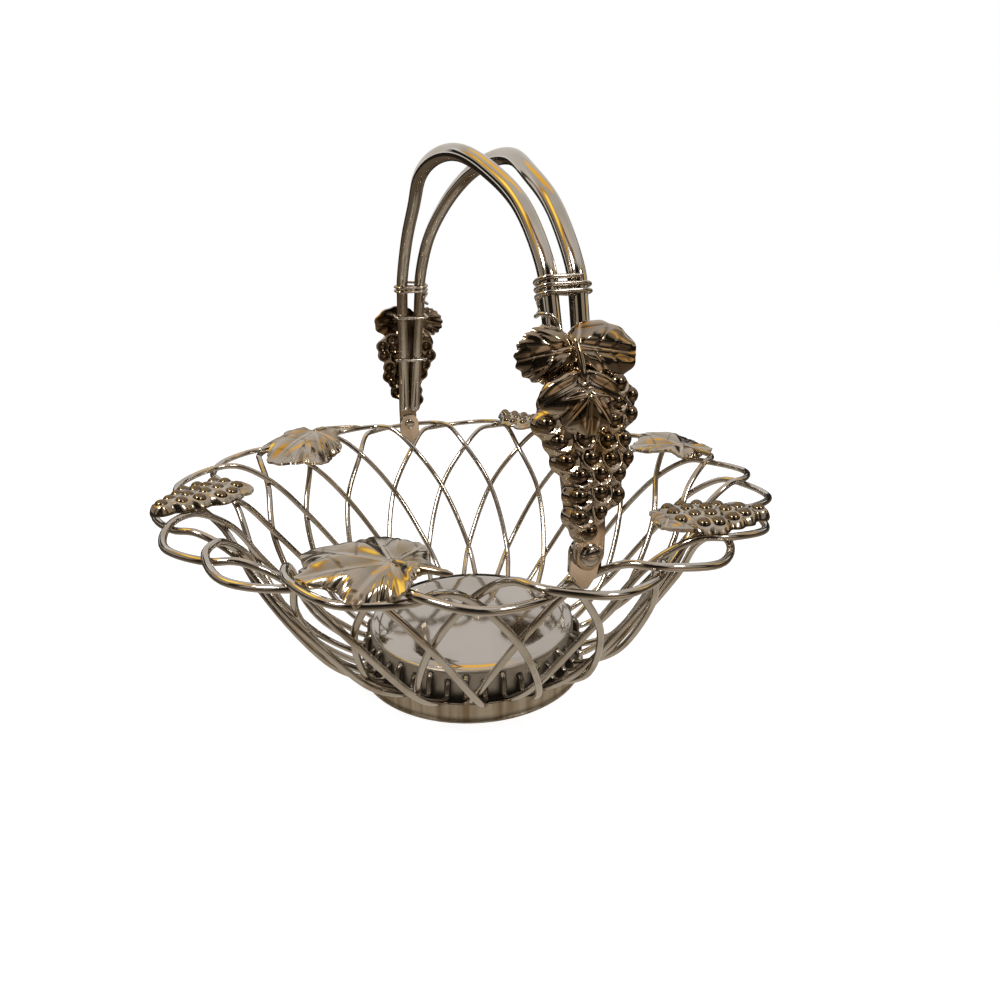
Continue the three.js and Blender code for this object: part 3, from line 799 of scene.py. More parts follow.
@dataclass
class Foot:
    """The turned foot band, and the pressed base plate with a hole for each wire's end."""

    strip: Material
    disc: Material
    bowl: Bowl
    radius: float = 60.0
    height: float = 10.3
    wall: float = 1.2
    waist: float = 0.1
    waist_shares: Flat = (0.4, 0.75)
    top_edge: float = 0.8
    lip_width: float = 0.8
    lip_height: float = 1.8
    lip_groove: float = 0.35
    bead_arc: Flat = (-72.0, 52.0)
    hem_reach: float = 3.5
    chamfer: float = 0.25
    fillet: float = 0.3
    channel: float = 4.0
    plate_top: float = 25.3
    plate_foot: float = 0.6
    sheet: float = 1.0
    edge_round: float = 1.8
    edge_arc: Flat = (0.0, 76.0)
    dish: float = 1.0
    dish_width: float = 7.5
    dish_start: float = 0.05
    dish_shares: tuple[float, ...] = (0.0, 0.15, 0.3, 0.45, 0.6, 0.8, 1.0)
    hole_diameter: float = 4.4
    hole_sides: int = 20
    cutter_reach: float = 4.0
    segments: int = 192
    # painted shade: how dark the band's inside and its groove are painted, and the least
    # brightness of the plate's wall, painted darker under its top; how far under the band's face
    # and under the plate's top these start and end
    inside_shade: float = 0.45
    inside_depths: Flat = (0.5, 0.9)
    groove_shade: float = 0.6
    wall_shade_limit: float = 0.62
    wall_depths: Flat = (2.2, 1.0)

    @property
    def band_outer(self) -> float:
        """Radius of the band above its lip."""
        return self.radius - self.lip_width

    @property
    def plate_radius(self) -> float:
        """Radius of the base plate's wall."""
        return self.band_outer - self.wall - self.channel

    def build(self) -> None:
        """Makes the band and the plate."""
        self.band()
        self.base_plate()

    def band(self) -> None:
        """Makes the foot band."""
        outer, wall, lip, height = self.band_outer, self.wall, self.lip_height, self.height
        inner, bead = outer - wall, lip / 2
        hem = inner - self.hem_reach
        outline = [
            (hem, wall),
            (hem, self.chamfer),
            (hem + self.chamfer, 0.0),
            (self.radius - bead, 0.0),
            *arc((self.radius - bead, bead), bead, *self.bead_arc),
            (outer, lip + self.fillet / 2),
            *((outer - self.waist, height * share) for share in self.waist_shares),
            (outer, height - self.top_edge),
            *arc((outer - wall / 2, height - wall / 2), wall / 2, 0, 180),
            (inner, wall + self.fillet),
            (inner - self.fillet, wall),
        ]
        parts = MeshParts()
        parts.loft(turned(outline, self.segments), looped=True)
        obj = parts.build("foot_ring", self.strip)
        out, up = axis_places(obj)
        # painted shade inside the band and in the groove above its lip
        inside = self.inside_shade * ramp(outer - out, *self.inside_depths)
        groove = self.groove_shade * np.exp(-(((up - lip) / self.lip_groove) ** 2))
        set_painted_shade(obj, 1 - np.maximum(inside, groove))
        hand_over(obj, Body.BASKET, ["foot_band"])

    def base_plate(self) -> None:
        """Makes the base plate and cuts its holes."""
        wall, sheet, foot = self.plate_radius, self.sheet, self.plate_foot
        top, edge, dish = self.plate_top, self.edge_round, self.dish
        inside, low = wall - sheet, self.wall + self.fillet
        flange = self.band_outer - self.wall - self.fillet
        rounded = wall - edge
        outline = [
            (0.0, top - sheet),
            (inside - sheet, top - sheet),
            (inside, top - 2 * sheet),
            (inside, low),
            (flange, low),
            (flange, low + sheet),
            (wall + foot, low + sheet),
            (wall, low + sheet + foot),
            (wall, top - edge - dish - self.fillet),
            *arc((rounded, top - edge - dish), edge, *self.edge_arc),
            *(
                (rounded - self.dish_width * (s + self.dish_start), top - dish * (1 - s) ** 2)
                for s in self.dish_shares
            ),
            (0.0, top),
        ]
        parts = MeshParts()
        parts.loft(turned(outline, self.segments))
        pan = parts.build("pan.blank", self.disc)
        modifier = pan.modifiers.new("holes", "BOOLEAN")
        modifier.operation, modifier.solver = "DIFFERENCE", "EXACT"
        modifier.object = self.cutters()
        obj = baked("raised_base", pan, self.disc)
        bpy.data.objects.remove(bpy.data.objects["holes"])
        # painted shade on the plate's wall, darker further under its top
        depth = top - axis_places(obj)[1]
        set_painted_shade(obj, np.maximum(ramp(depth, *self.wall_depths), self.wall_shade_limit))
        hand_over(obj, Body.BASKET, ["base_plate"])

    def cutters(self) -> Object:
        """Makes the rods that cut the holes.

        Returns:
            The rods as one object.
        """
        radius, reach = self.hole_diameter / 2, self.cutter_reach
        rod = turned([(0, -reach), (radius, -reach), (radius, reach), (0, reach)], self.hole_sides)
        parts = MeshParts()
        for side in (1, -1):
            hole = self.bowl.leg(side)[-1]
            across = Matrix.Translation((self.plate_radius - self.sheet / 2, 0, hole.z))
            for angle in round_steps(self.bowl.loops):
                turn = Matrix.Rotation(math.atan2(hole.y, hole.x) + angle, 4, "Z")
                parts.loft(rod, place=turn @ across @ turn_about("Y", 90))
        return parts.build("holes", self.disc)


# ---------------------------------------------------------------- cast leaves and grapes


@dataclass(frozen=True)
class Leaf:
    """A cast vine leaf, its stalk's end at the origin, its tip towards +Y and raised towards +Z.

    Angles in fields are in degrees from the tip.
    """

    length: float
    half_width: float
    base: float
    veins: tuple[float, ...] = (0.0, 40.0, 86.0, 138.0)
    notch: float = 0.2
    lobe_spread: float = 15.0
    teeth: int = 34
    tooth: float = 0.035
    thickness: float = 1.3
    vein_height: float = 0.7
    vein_width: float = 0.6
    crease_depth: float = 0.3
    crease_width: float = 0.055
    crease_pitch: float = 6.4
    crease_slant: float = 0.75
    puff: float = 1.4
    valley: float = 2.0
    droop: float = 2.6
    sway: float = 0.8
    sway_waves: int = 3
    sway_phase: float = 0.0
    hang: float = 0.0
    hang_turn: float = 0.0
    heart_lift: float = 0.4
    # how far out from the heart the veins, the panels and the creases have their full height
    start: float = 2.5
    panel_start: float = 4.0
    crease_starts: Flat = (2.4, 6.4)
    crease_gap: float = 1.2
    # painted brightness of the leaf's face, its painted shade level
    tone: float = 0.6
    # painted shade and highlight: how much brighter or darker than the tone these are painted
    panel_tone: float = 0.15
    groove_tone: float = -0.3
    crease_tone: float = -0.6
    ridge_tone: float = 0.8
    edge_tone: float = 0.4
    stalk: float = 0.0
    stalk_width: float = 1.1
    stalk_bend: float = 0.12
    stalk_sides: int = 14
    # share of the stalk's length, and share of its width there
    stalk_taper: tuple[Flat, ...] = (
        (0, 0.2), (0.03, 0.7), (0.12, 1.0), (0.5, 0.9), (0.9, 0.8), (1, 0.3),
    )
    stalk_lift: float = 0.5
    stalk_drop: float = 0.9
    # painted brightness of the stalk, and painted shade on the leaf's back
    stalk_bright: float = 0.8
    back_bright: float = 0.5
    back_relief: float = 0.7
    back_share: float = 0.985
    steps_round: int = 192
    steps_out: int = 42
    steps_back: int = 14

    def vein_gap(self, angle: np.ndarray) -> np.ndarray:
        """Angle to the nearest main vein, for directions from the stalk, all in radians."""
        side = np.abs(np.arctan2(np.sin(angle), np.cos(angle)))
        return np.min([np.abs(side - radians(vein)) for vein in self.veins], axis=0)

    def reach(self, angle: np.ndarray) -> np.ndarray:
        """How far the edge is from the stalk's end: an oval, notched between the veins.

        Args:
            angle: Directions from the stalk's end, in radians from the tip.

        Returns:
            The distances.
        """
        half = self.length / 2
        middle = half - self.base
        curve = (np.sin(angle) / self.half_width) ** 2 + (np.cos(angle) / half) ** 2
        along = middle * np.cos(angle) / half**2
        oval = (along + np.sqrt(along**2 + curve * (1 - (middle / half) ** 2))) / curve
        fall = np.exp(-((self.vein_gap(angle) / radians(self.lobe_spread)) ** 2))
        teeth = 1 - self.tooth * (0.5 + 0.5 * np.cos(self.teeth * angle))
        return oval * teeth * (1 - self.notch * (1 - fall))

    def bend(self, angle: np.ndarray, share: float) -> np.ndarray:
        """Height of the sheet without its relief.

        Args:
            angle: Directions from the stalk's end, in radians from the tip.
            share: Share of the way out to the edge.

        Returns:
            The heights.
        """
        side = np.maximum(np.cos(angle - radians(self.hang_turn)), 0.0)
        wave = self.sway * np.sin(self.sway_waves * angle + self.sway_phase)
        return (wave - self.droop - self.hang * side**2) * share**2

    def relief_shade(self, angle: np.ndarray, share: float) -> tuple[np.ndarray, np.ndarray]:
        """Raised veins, creases for the side veins, and puffed panels between them, with painted
        shade.

        Args:
            angle: Directions from the stalk's end, in radians from the tip.
            share: Share of the way out to the edge.

        Returns:
            Heights over the sheet, and each point's painted shade and highlight.
        """
        out = self.reach(angle) * share
        gap = self.vein_gap(angle)
        across, along = out * np.sin(gap), out * np.cos(gap)
        near = ramp(out, 0.0, self.start)
        groove = np.exp(-((across / self.valley) ** 2)) * near
        ridge = np.exp(-((across / (self.vein_width * (1.2 - 0.7 * share))) ** 2)) * near
        phase = (along - self.crease_slant * across) / self.crease_pitch
        crease = np.exp(-(((phase - np.round(phase)) / self.crease_width) ** 2))
        crease *= ramp(out, *self.crease_starts) * (1 - share**8)
        crease *= np.minimum(1.0, across / self.crease_gap)
        panel = (1 - groove) * (1 - share**6) * ramp(out, 0.0, self.panel_start)
        height = self.puff * panel + self.vein_height * ridge * (1 - 0.5 * share)
        height -= self.crease_depth * crease
        # painted shade in grooves and creases, painted highlight on panels, ridges and the edge
        bright = self.tone + self.panel_tone * panel + self.groove_tone * groove
        bright += self.crease_tone * crease + self.ridge_tone * ridge + self.edge_tone * share**14
        return height, np.clip(bright, 0.0, 1.0)

    def add_to(self, parts: MeshParts, place: Matrix) -> None:
        """Adds the leaf as a closed shell, with its stalk.

        Args:
            parts: The mesh it is added to.
            place: Where it goes.
        """
        rings: list[list[Point]] = [[(0.0, 0.0, self.heart_lift)]]
        bright: list[float | list[float]] = [self.stalk_bright]
        angles = np.array(round_steps(self.steps_round))
        shares = [((i + 1) / self.steps_out, False) for i in range(self.steps_out)]
        shares += [(1 - i / self.steps_back, True) for i in range(self.steps_back)]
        for share, back in shares:
            height, shine = self.relief_shade(angles, share)
            sheet = self.back_relief * height - self.thickness if back else height
            out = self.reach(angles) * share * (self.back_share if back else 1.0)
            level = self.bend(angles, share) + sheet
            rings.append(list(zip(out * np.sin(angles), out * np.cos(angles), level)))
            bright.append(shine.tolist())
        rings.append([(0.0, 0.0, -self.thickness)])
        parts.loft(rings, [*bright, self.back_bright], place)
        if self.stalk > 0:
            self.add_stalk(parts, place)

    def add_stalk(self, parts: MeshParts, place: Matrix) -> None:
        """Adds the stalk, a tapered rod from the veins' meeting out past the leaf.

        Args:
            parts: The mesh it is added to.
            place: Where the leaf goes.
        """
        rings = []
        for share, taper in self.stalk_taper:
            width, y = self.stalk_width * taper, -self.stalk * share
            x = self.stalk * self.stalk_bend * share**2
            z = self.stalk_lift - self.stalk_drop * share
            steps = round_steps(self.stalk_sides)
            rings.append([(x + width * cos(a), y, z + width * sin(a)) for a in steps])
        parts.loft(rings, [self.stalk_bright] * len(rings), place)


@dataclass(frozen=True)
class Bunch:
    """Cast grapes in the web of metal that they sit in, with a collar round each, flat behind.

    Grapes are given as rows of place across, place along and radius.
    """

    grape: float
    # painted shade of the grapes, dark to stand in for the dark room that they reflect
    brightness: float
    spread: float = 0.06
    margin: float = 1.5
    height: float = 4.8
    crown: float = 2.2
    edge: float = 0.9
    collar: float = 1.3
    collar_width: float = 0.85
    collar_reach: float = 1.15
    collar_side: Flat = (0.6, 0.4)
    # painted highlight on the collars' crests
    crest_bright: float = 1.3
    sink: float = -0.3
    dent: float = 0.0
    # painted shade levels of the bed's face and of its flat back
    tone: float = 0.5
    back_bright: float = 0.5
    end_round: float = 3.0
    end_inset: float = 0.02
    smoothing: int = 5
    steps_along: int = 120
    steps_across: int = 76

    def level(self, across: np.ndarray) -> np.ndarray:
        """Height of the bed without its collars, at places from edge to edge, -1 to 1."""
        rise = (self.height - self.edge) * (1 - across**6)
        return self.edge + rise + self.crown * (1 - across**2)

    def sides(self, grapes: np.ndarray, rows: np.ndarray) -> tuple[np.ndarray, np.ndarray]:
        """The bed's two edges.

        Args:
            grapes: The grapes.
            rows: Places along.

        Returns:
            The lower and the upper place across at each row.
        """
        wide = grapes[:, 2:3] + self.margin
        reach = np.sqrt(np.maximum(wide**2 - (rows[None, :] - grapes[:, 1:2]) ** 2, 0.0))
        inside = reach > 0
        low = np.where(inside, grapes[:, 0:1] - reach, np.inf).min(axis=0)
        high = np.where(inside, grapes[:, 0:1] + reach, -np.inf).max(axis=0)
        return low, high

    def seats(self, grapes: np.ndarray) -> np.ndarray:
        """Where the grapes' middles go.

        Args:
            grapes: The grapes.

        Returns:
            The points, one in each row.
        """
        low, high = self.sides(grapes, grapes[:, 1])
        across = (2 * grapes[:, 0] - low - high) / (high - low)
        return np.column_stack((grapes[:, :2], self.level(across) + self.sink * grapes[:, 2]))

    def add_bed(self, parts: MeshParts, grapes: np.ndarray) -> None:
        """Adds the bed as a closed shell.

        Args:
            parts: The mesh it is added to.
            grapes: The grapes.
        """
        ends = grapes[:, 1:2] + np.array([[-1.0, 1.0]]) * (grapes[:, 2:3] + self.margin)
        first, last = ends.min() + self.end_inset, ends.max() - self.end_inset
        rows = np.linspace(first, last, self.steps_along)
        window = np.ones(self.smoothing) / self.smoothing
        low, high = (
            np.convolve(np.pad(edge, self.smoothing // 2, mode="edge"), window, "valid")
            for edge in self.sides(grapes, rows)
        )
        across = np.linspace(-1, 1, self.steps_across)
        x = (low + high)[:, None] / 2 + (high - low)[:, None] / 2 * across[None, :]
        y = np.broadcast_to(rows[:, None], x.shape)
        end_gap = np.minimum(rows - rows[0], rows[-1] - rows)
        rounding = np.sqrt(ramp(end_gap, 0.0, self.end_round))[:, None]
        crest, back = np.zeros_like(x), np.zeros_like(x)
        for gx, gy, radius in grapes:
            away = np.hypot(x - gx, y - gy)
            below = self.collar_side[0] + self.collar_side[1] * (gy - y) / np.maximum(away, 0.1)
            past = (away - self.collar_reach * radius) / self.collar_width
            crest = np.maximum(crest, np.exp(-(past**2)) * below)
            back = np.maximum(back, self.dent * np.sqrt(np.clip(1 - (away / radius) ** 2, 0, 1)))
        z = self.edge + (self.level(across)[None, :] - self.edge) * rounding
        z += self.collar * crest * (1 - across[None, :] ** 10) * rounding
        # painted shade on the bed, with a painted highlight on the collars
        bright = np.clip(self.tone + (self.crest_bright - self.tone) * crest, 0.0, 1.0)
        face, under = np.dstack((x, y, z))[:, ::-1], np.dstack((x, y, back))
        rings = np.concatenate((face, under), axis=1).tolist()
        shine = np.concatenate((bright[:, ::-1], np.full_like(x, self.back_bright)), axis=1)
        parts.loft(rings, shine.tolist())

    def build(
        self,
        name: str,
        tree: GrapeTree,
        cast: Material,
        grapes: np.ndarray,
        leaves: MeshParts,
        place: Matrix,
        seed: int = 1,
    ) -> Object:
        """Makes the bunch and its leaves as one piece.

        Args:
            name: Its name.
            tree: The nodes that set the grapes.
            cast: Its material.
            grapes: The grapes.
            leaves: The leaves, to which the bed is added.
            place: Where the whole goes, in millimetres.
            seed: Which sizes the grapes have.

        Returns:
            The plain mesh object.
        """
        self.add_bed(leaves, grapes)
        shell = leaves.build(name, cast)
        mesh = bpy.data.meshes.new(name + ".points")
        mesh.from_pydata((self.seats(grapes) * MM).tolist(), [], [])
        values = {
            "Diameter": self.grape * MM,
            "Brightness": self.brightness,
            "Spread": self.spread,
            "Seed": seed,
            "Material": cast,
        }
        balls = tree.run(name + ".grapes", in_scene(name + ".points", mesh), values)
        both = {"object": shell, "selected_editable_objects": [shell, balls]}
        with bpy.context.temp_override(active_object=shell, **both):
            bpy.ops.object.join()
        metres = place.copy()
        metres.translation *= MM
        shell.data.transform(metres)
        return shell


@dataclass
class Cluster:
    """The cast vine cluster on one leg: two upper leaves, a middle and a low leaf, and a bunch."""

    tree: GrapeTree
    cast: Material
    bunch: Bunch = Bunch(
        6.1, 0.26, dent=2.4, margin=1.1, collar=1.6, collar_width=0.95, sink=-0.5, tone=0.62
    )
    # place up the leg, place of the first grape across, how many grapes, and their spacing
    rows: tuple[tuple[float, float, int, float], ...] = (
        (-1.7, -4.6, 1, 7.0),
        (3.2, -7.3, 2, 7.1),
        (9.2, -6.0, 3, 6.5),
        (15.4, -5.6, 3, 6.7),
        (20.6, -9.6, 4, 7.2),
        (26.6, -11.2, 4, 7.5),
        (32.8, -14.4, 5, 7.2),
        (38.6, -12.0, 5, 6.9),
        (43.6, 10.6, 1, 7.0),
    )
    row_wave: Flat = (0.8, 1.9)
    shift: float = 0.4
    seed: int = 7
    # the left, right, middle and low leaf: its place across, up and out, its turn and its tilt
    leaves: tuple[tuple[Point, float, float, Leaf], ...] = (
        ((-3.8, 55.0, 5.6), 98.0, -4.0, Leaf(
            20.8, 9.4, 1.2, veins=(0.0, 68.0), notch=0.05, lobe_spread=26.0, tooth=0.05,
        )),
        ((-4.4, 55.4, 6.4), -97.0, -4.0, Leaf(
            27.0, 10.4, 1.6, veins=(0.0, 66.0), notch=0.06, lobe_spread=22.0, teeth=22,
            crease_pitch=6.8, droop=3.0, sway_phase=2.0,
        )),
        ((-4.4, 44.6, 9.8), -180.0, -2.0, Leaf(
            18.0, 14.6, 4.5, veins=(0.0, 66.0), lobe_spread=26.0, teeth=14, vein_height=0.4,
            vein_width=0.9, crease_depth=0.0, puff=2.4, valley=2.6, droop=1.6, sway_phase=1.2,
            tone=0.75, stalk=12.5, stalk_width=1.3,
        )),
        ((-3.2, 40.4, 11.8), -180.0, -8.0, Leaf(
            15.4, 9.6, 2.2, veins=(0.0, 40.0, 80.0), notch=0.14, lobe_spread=18.0, teeth=12,
            crease_depth=0.0, valley=1.5, droop=2.0, sway_phase=2.4,
        )),
    )

    def grapes(self) -> np.ndarray:
        """Each grape's place across, place up and radius.

        Returns:
            One row for each grape.
        """
        draw = random.Random(self.seed)
        places = []
        for up, first, count, spacing in self.rows:
            for i in range(count):
                x = first + i * spacing + draw.uniform(-self.shift, self.shift)
                wave = self.row_wave[0] * sin(self.row_wave[1] * i)
                y = up + wave + draw.uniform(-self.shift, self.shift)
                places.append((x, y, self.bunch.grape / 2))
        return np.array(places)

    def build(self, end: End, leg: Matrix, lift: float) -> None:
        """Makes the cluster at one end.

        Args:
            end: Which end.
            leg: The back leg's own frame.
            lift: How far the cluster's back is outside the tubes' middle plane.
        """
        parts = MeshParts()
        for place, turn, tilt, leaf in self.leaves:
            there = Matrix.Translation(place) @ turn_about("Z", turn)
            leaf.add_to(parts, there @ turn_about("X", tilt))
        across_up_out = Matrix(((-1, 0, 0, 0), (0, 0, 1, 0), (0, 1, 0, 0), (0, 0, 0, 1)))
        place = end.turn @ leg @ Matrix.Translation((0, lift, 0)) @ across_up_out
        name = f"vine_cast_{end.label}"
        obj = self.bunch.build(name, self.tree, self.cast, self.grapes(), parts, place)
        hand_over(obj, Body.HANDLE, [f"vine_cluster_{end.label}"])


@dataclass
class RimOrnaments:
    """Three cast leaves and three cast bunches that lie on the rim."""

    tree: GrapeTree
    cast: Material
    rim_radius: float = 140.5
    rest_height: float = 104.9
    leaf_inset: float = 20.5
    leaf_lift: float = 3.6
    plain_leaf: Leaf = Leaf(
        54.0, 21.0, 15.0, thickness=1.5, vein_height=0.35, vein_width=0.9, crease_depth=0.2,
        crease_width=0.03, crease_pitch=15.0, puff=3.4, valley=4.2, droop=2.0, sway=1.9,
        sway_phase=0.9, tone=0.9, stalk=21.0, stalk_width=1.5, steps_round=280, steps_out=60,
    )
    # each leaf's angle round the rim, its turn, and what differs from the plain one
    rim_leaves: tuple[tuple[float, float, dict[str, float]], ...] = (
        (0, 90, {}),
        (126, 105, {
            "length": 61.56, "base": 17.1, "stalk": 23.1, "stalk_bend": -0.8, "hang": 11.0,
            "hang_turn": -35.0, "sway_phase": 2.6,
        }),
        (234, -105, {"hang": 4.0, "hang_turn": -80.0, "sway_phase": 4.3}),
    )
    bunch_inset: float = 18.5
    bunch_angles: tuple[float, ...] = (54, 180, 300)
    bunch_turn: float = 225
    bunch_rows: tuple[int, ...] = (1, 2, 3, 4, 4, 3)
    bunch_length: float = 39.0
    bunch_start: float = 3.0
    spacing: float = 6.7
    shift_across: float = 0.5
    shift_along: float = 0.6
    seed: int = 20
    bunch: Bunch = Bunch(
        5.6, 0.2, margin=2.0, height=3.0, crown=1.4, edge=0.7, collar=0.55, collar_width=1.0,
        sink=-0.4, steps_along=96, steps_across=64,
    )
    small_leaf: Leaf = Leaf(
        16.0, 14.5, 9.0, veins=(0.0, 60.0, 120.0), notch=0.14, lobe_spread=26.0, teeth=18,
        crease_depth=0.2, puff=1.2, droop=1.4, tone=0.75, steps_round=160, steps_out=26,
    )
    small_leaf_inset: float = 4.0
    small_leaf_lift: float = 2.8

    def place(self, inset: float, angle: float, turn: float) -> Matrix:
        """Where an ornament goes.

        Args:
            inset: How far its middle is inside the rim's edge.
            angle: Its angle round the rim, in degrees.
            turn: Turn of its +Y end from pointing outwards, in degrees.

        Returns:
            The placing matrix, in millimetres.
        """
        there = Matrix.Translation((self.rim_radius - inset, 0, self.rest_height))
        return turn_about("Z", angle) @ there @ turn_about("Z", turn - 90)

    def build(self) -> None:
        """Makes all six."""
        for number, (angle, turn, changes) in enumerate(self.rim_leaves, 1):
            leaf, parts = replace(self.plain_leaf, **changes), MeshParts()
            stalk_end = Matrix.Translation((0, leaf.base - leaf.length / 2, self.leaf_lift))
            leaf.add_to(parts, self.place(self.leaf_inset, angle, turn) @ stalk_end)
            obj = parts.build(f"rim_leaf_cast_{number}", self.cast)
            hand_over(obj, Body.BASKET, [f"rim_leaf_{number}"])
        for i, angle in enumerate(self.bunch_angles):
            self.rim_bunch(i, self.place(self.bunch_inset, angle, self.bunch_turn))

    def rim_bunch(self, number: int, place: Matrix) -> None:
        """Makes one rim bunch, with a small leaf at its stalk end.

        Args:
            number: Which one, from 0.
            place: Where its middle goes.
        """
        draw = random.Random(self.seed + number)
        grape, length = self.bunch.grape, self.bunch_length
        pitch = (length - grape) / (len(self.bunch_rows) - 1)
        first = (grape - length) / 2 - self.bunch_start
        grapes = []
        for row, count in enumerate(self.bunch_rows):
            for i in range(count):
                shift = draw.uniform(-self.shift_across, self.shift_across)
                across = (i - (count - 1) / 2) * self.spacing + shift
                along = first + row * pitch + draw.uniform(-self.shift_along, self.shift_along)
                grapes.append((across, along, grape / 2))
        parts = MeshParts()
        stalk_end = (0, length / 2 - self.small_leaf_inset, self.small_leaf_lift)
        self.small_leaf.add_to(parts, Matrix.Translation(stalk_end))
        name, grapes = f"rim_grapes_cast_{number + 1}", np.array(grapes)
        obj = self.bunch.build(name, self.tree, self.cast, grapes, parts, place, number)
        hand_over(obj, Body.BASKET, [f"rim_grapes_{number + 1}"])


# ---------------------------------------------------------------- handle and hinges


@dataclass
class Handle:
    """The paired tubes, and at each leg the strap, binding wire, ties and hinge."""

    tree: WireTree
    plate: Material
    polished: Material
    bar: Material
    tube: Wire = Wire(6.4, sides=40, tip=6)
    binding: Wire = Wire(1.4, tip=3, waver=0.5, waver_length=9.0, seed=2.0)
    tie: Wire = Wire(1.6)
    height: float = 247.0
    hinge_height: float = 106.499
    neck_radius: float = 115.0
    wire_radius: float = 1.5
    gap: float = 0.3
    sharp: float = 30.0
    lug_thickness: float = 2.0
    lug_radius: float = 6.2
    lug_depth: float = 13.7
    lug_steps: int = 36
    lug_soft: float = 0.35
    lug_middle: float = 3.0
    # place across and rise over the lug's lower end, down one side
    lug_foot: tuple[Flat, ...] = ((-6.2, 7.2), (-5.2, 5.4), (-3.0, 2.4), (-1.2, 0.0))
    strap_thickness: float = 2.4
    strap_width: float = 11.0
    strap_length: float = 78.0
    strap_soft: float = 0.5
    strap_steps: int = 12
    strap_end: float = 0.3
    # shares of the way from the hinge to the bend, and of the length past it
    strap_shares: Point = (0.3, 0.55, 0.75)
    strap_start: float = 2.0
    strap_upper: Flat = (0.25, 0.5)
    # rise over the strap's full length, and share of its width
    tongue: tuple[Flat, ...] = (
        (-21.0, 1.0), (-18.0, 0.8), (-15.5, 0.5), (-12.0, 0.34), (-9.0, 0.24),
    )
    # painted shade on the strap's tongue, standing in for a dark reflection
    painted_shade: float = 0.35
    shank: float = 2.0
    head_diameter: float = 7.4
    # steps out over the head's radius and up over the strap, round the rivet's collar
    collar: tuple[Flat, ...] = ((0.3, 0.02), (0.35, 0.3), (0.1, 0.5), (-0.1, 0.45))
    dome_inset: float = 0.2
    dome_foot: float = 0.5
    dome_rise: float = 1.5
    dome_steps: int = 10
    tail_diameter: float = 6.0
    tail_height: float = 1.4
    tail_round: float = 0.7
    tail_steps: int = 4
    tail_gap: float = 0.05
    rivet_segments: int = 40
    shoulder_rise: float = 85.0
    shoulder_inset: float = 18.6
    shoulder_spread: float = 10.6
    shoulder_reach: float = 4.175
    crown_spread: float = 24.0
    tube_rise: float = 10.5
    tube_steps: int = 14
    # share of the shoulder's reach, share of the way up, share of the way to the crown's spread
    arch: tuple[tuple[float, float, float], ...] = (
        (0.81, 0.47, 0.1), (0.545, 0.76, 0.4), (0.3, 0.94, 0.85), (0.0, 1.0, 1.0),
    )
    turns: float = 2.0
    last_turn: float = 0.42
    pitch: float = 2.3
    slack: float = 0.6
    coil_steps: int = 48
    # the free end's course after the last turn: across, outwards, and up from that turn's end
    tendril: tuple[Point, ...] = (
        (7.0, -4.6, -1.6),
        (6.6, -4.6, -3.4),
        (8.2, -3.6, -5.0),
        (9.9, -1.4, -5.9),
        (9.9, 1.6, -5.8),
        (8.4, 4.2, -6.6),
        (6.5, 4.7, -7.8),
        (5.4, 4.6, -9.6),
        (4.9, 4.9, -12.0),
    )
    tendril_steps: int = 8
    tie_places: tuple[float, ...] = (34.0, 60.0)
    tie_tuck: float = 0.6
    tie_steps: int = 6

    @property
    def lug_inner(self) -> float:
        """Inner face of the lug."""
        return self.neck_radius + self.wire_radius + self.gap

    @property
    def strap_inner(self) -> float:
        """Inner face of the strap."""
        return self.lug_inner + self.lug_thickness + self.gap

    @property
    def leg_start(self) -> float:
        """Reach of the tubes' lower ends."""
        return self.strap_inner - self.gap - self.tube.diameter / 2

    @property
    def leg_rise(self) -> float:
        """Height from the tubes' ends to the shoulder."""
        return self.shoulder_rise - self.tube_rise

    @property
    def leg_length(self) -> float:
        """Length of a leg from the tubes' ends to the shoulder."""
        return math.hypot(self.shoulder_inset, self.leg_rise)

    @property
    def leg_frame(self) -> Matrix:
        """The back leg's own frame: X across, Y outwards, Z up the leg."""
        start = Matrix.Translation((0, self.leg_start, self.hinge_height + self.tube_rise))
        return start @ Matrix.Rotation(math.atan2(self.shoulder_inset, self.leg_rise), 4, "X")

    @property
    def strap_lift(self) -> float:
        """How far the strap's inner face is outside the tubes' middle plane."""
        return self.tube.diameter / 2 + self.gap

    @property
    def cluster_lift(self) -> float:
        """How far the cluster's back is outside the tubes' middle plane."""
        return self.strap_lift + self.strap_thickness + self.gap

    def build(self) -> None:
        """Makes the whole handle and its hinges."""
        for label, side in (("right", 1), ("left", -1)):
            self.arched_tube(label, side)
        for end in End:
            self.strap(end)
            self.binding_wire(end)
            self.ties(end)
            self.lug(end)
            self.rivet(end)

    def arched_tube(self, label: str, side: int) -> None:
        """Makes one tube.

        Args:
            label: Word in its node's name.
            side: Sign of its X.
        """
        tube, length, bound = self.tube.diameter, self.leg_length, self.shoulder_reach
        shoulder, crown = self.hinge_height + self.shoulder_rise, self.height - tube / 2
        foot, half = (tube + self.gap) / 2, self.shoulder_spread / 2
        reach, widening = self.leg_start - self.shoulder_inset, self.crown_spread / 2 - half
        stations = [(foot, 0), ((foot + half) / 2, length / 2)]
        stations += [(half, length - bound), (half, length + bound)]
        back = [self.leg_frame @ Vector((side * x, 0, z)) for x, z in stations]
        for out, up, spread in self.arch:
            z = shoulder + (crown - shoulder) * up
            back.append(Vector((side * (half + widening * spread), reach * out, z)))
        front = [Vector((p.x, -p.y, p.z)) for p in reversed(back[:-1])]
        course = smooth_course([*back, *front], self.tube_steps)
        obj = self.tree.make(f"arched_tube_{label}", [course], self.tube, self.polished)
        hand_over(obj, Body.HANDLE, [f"handle_tube_{label}"])

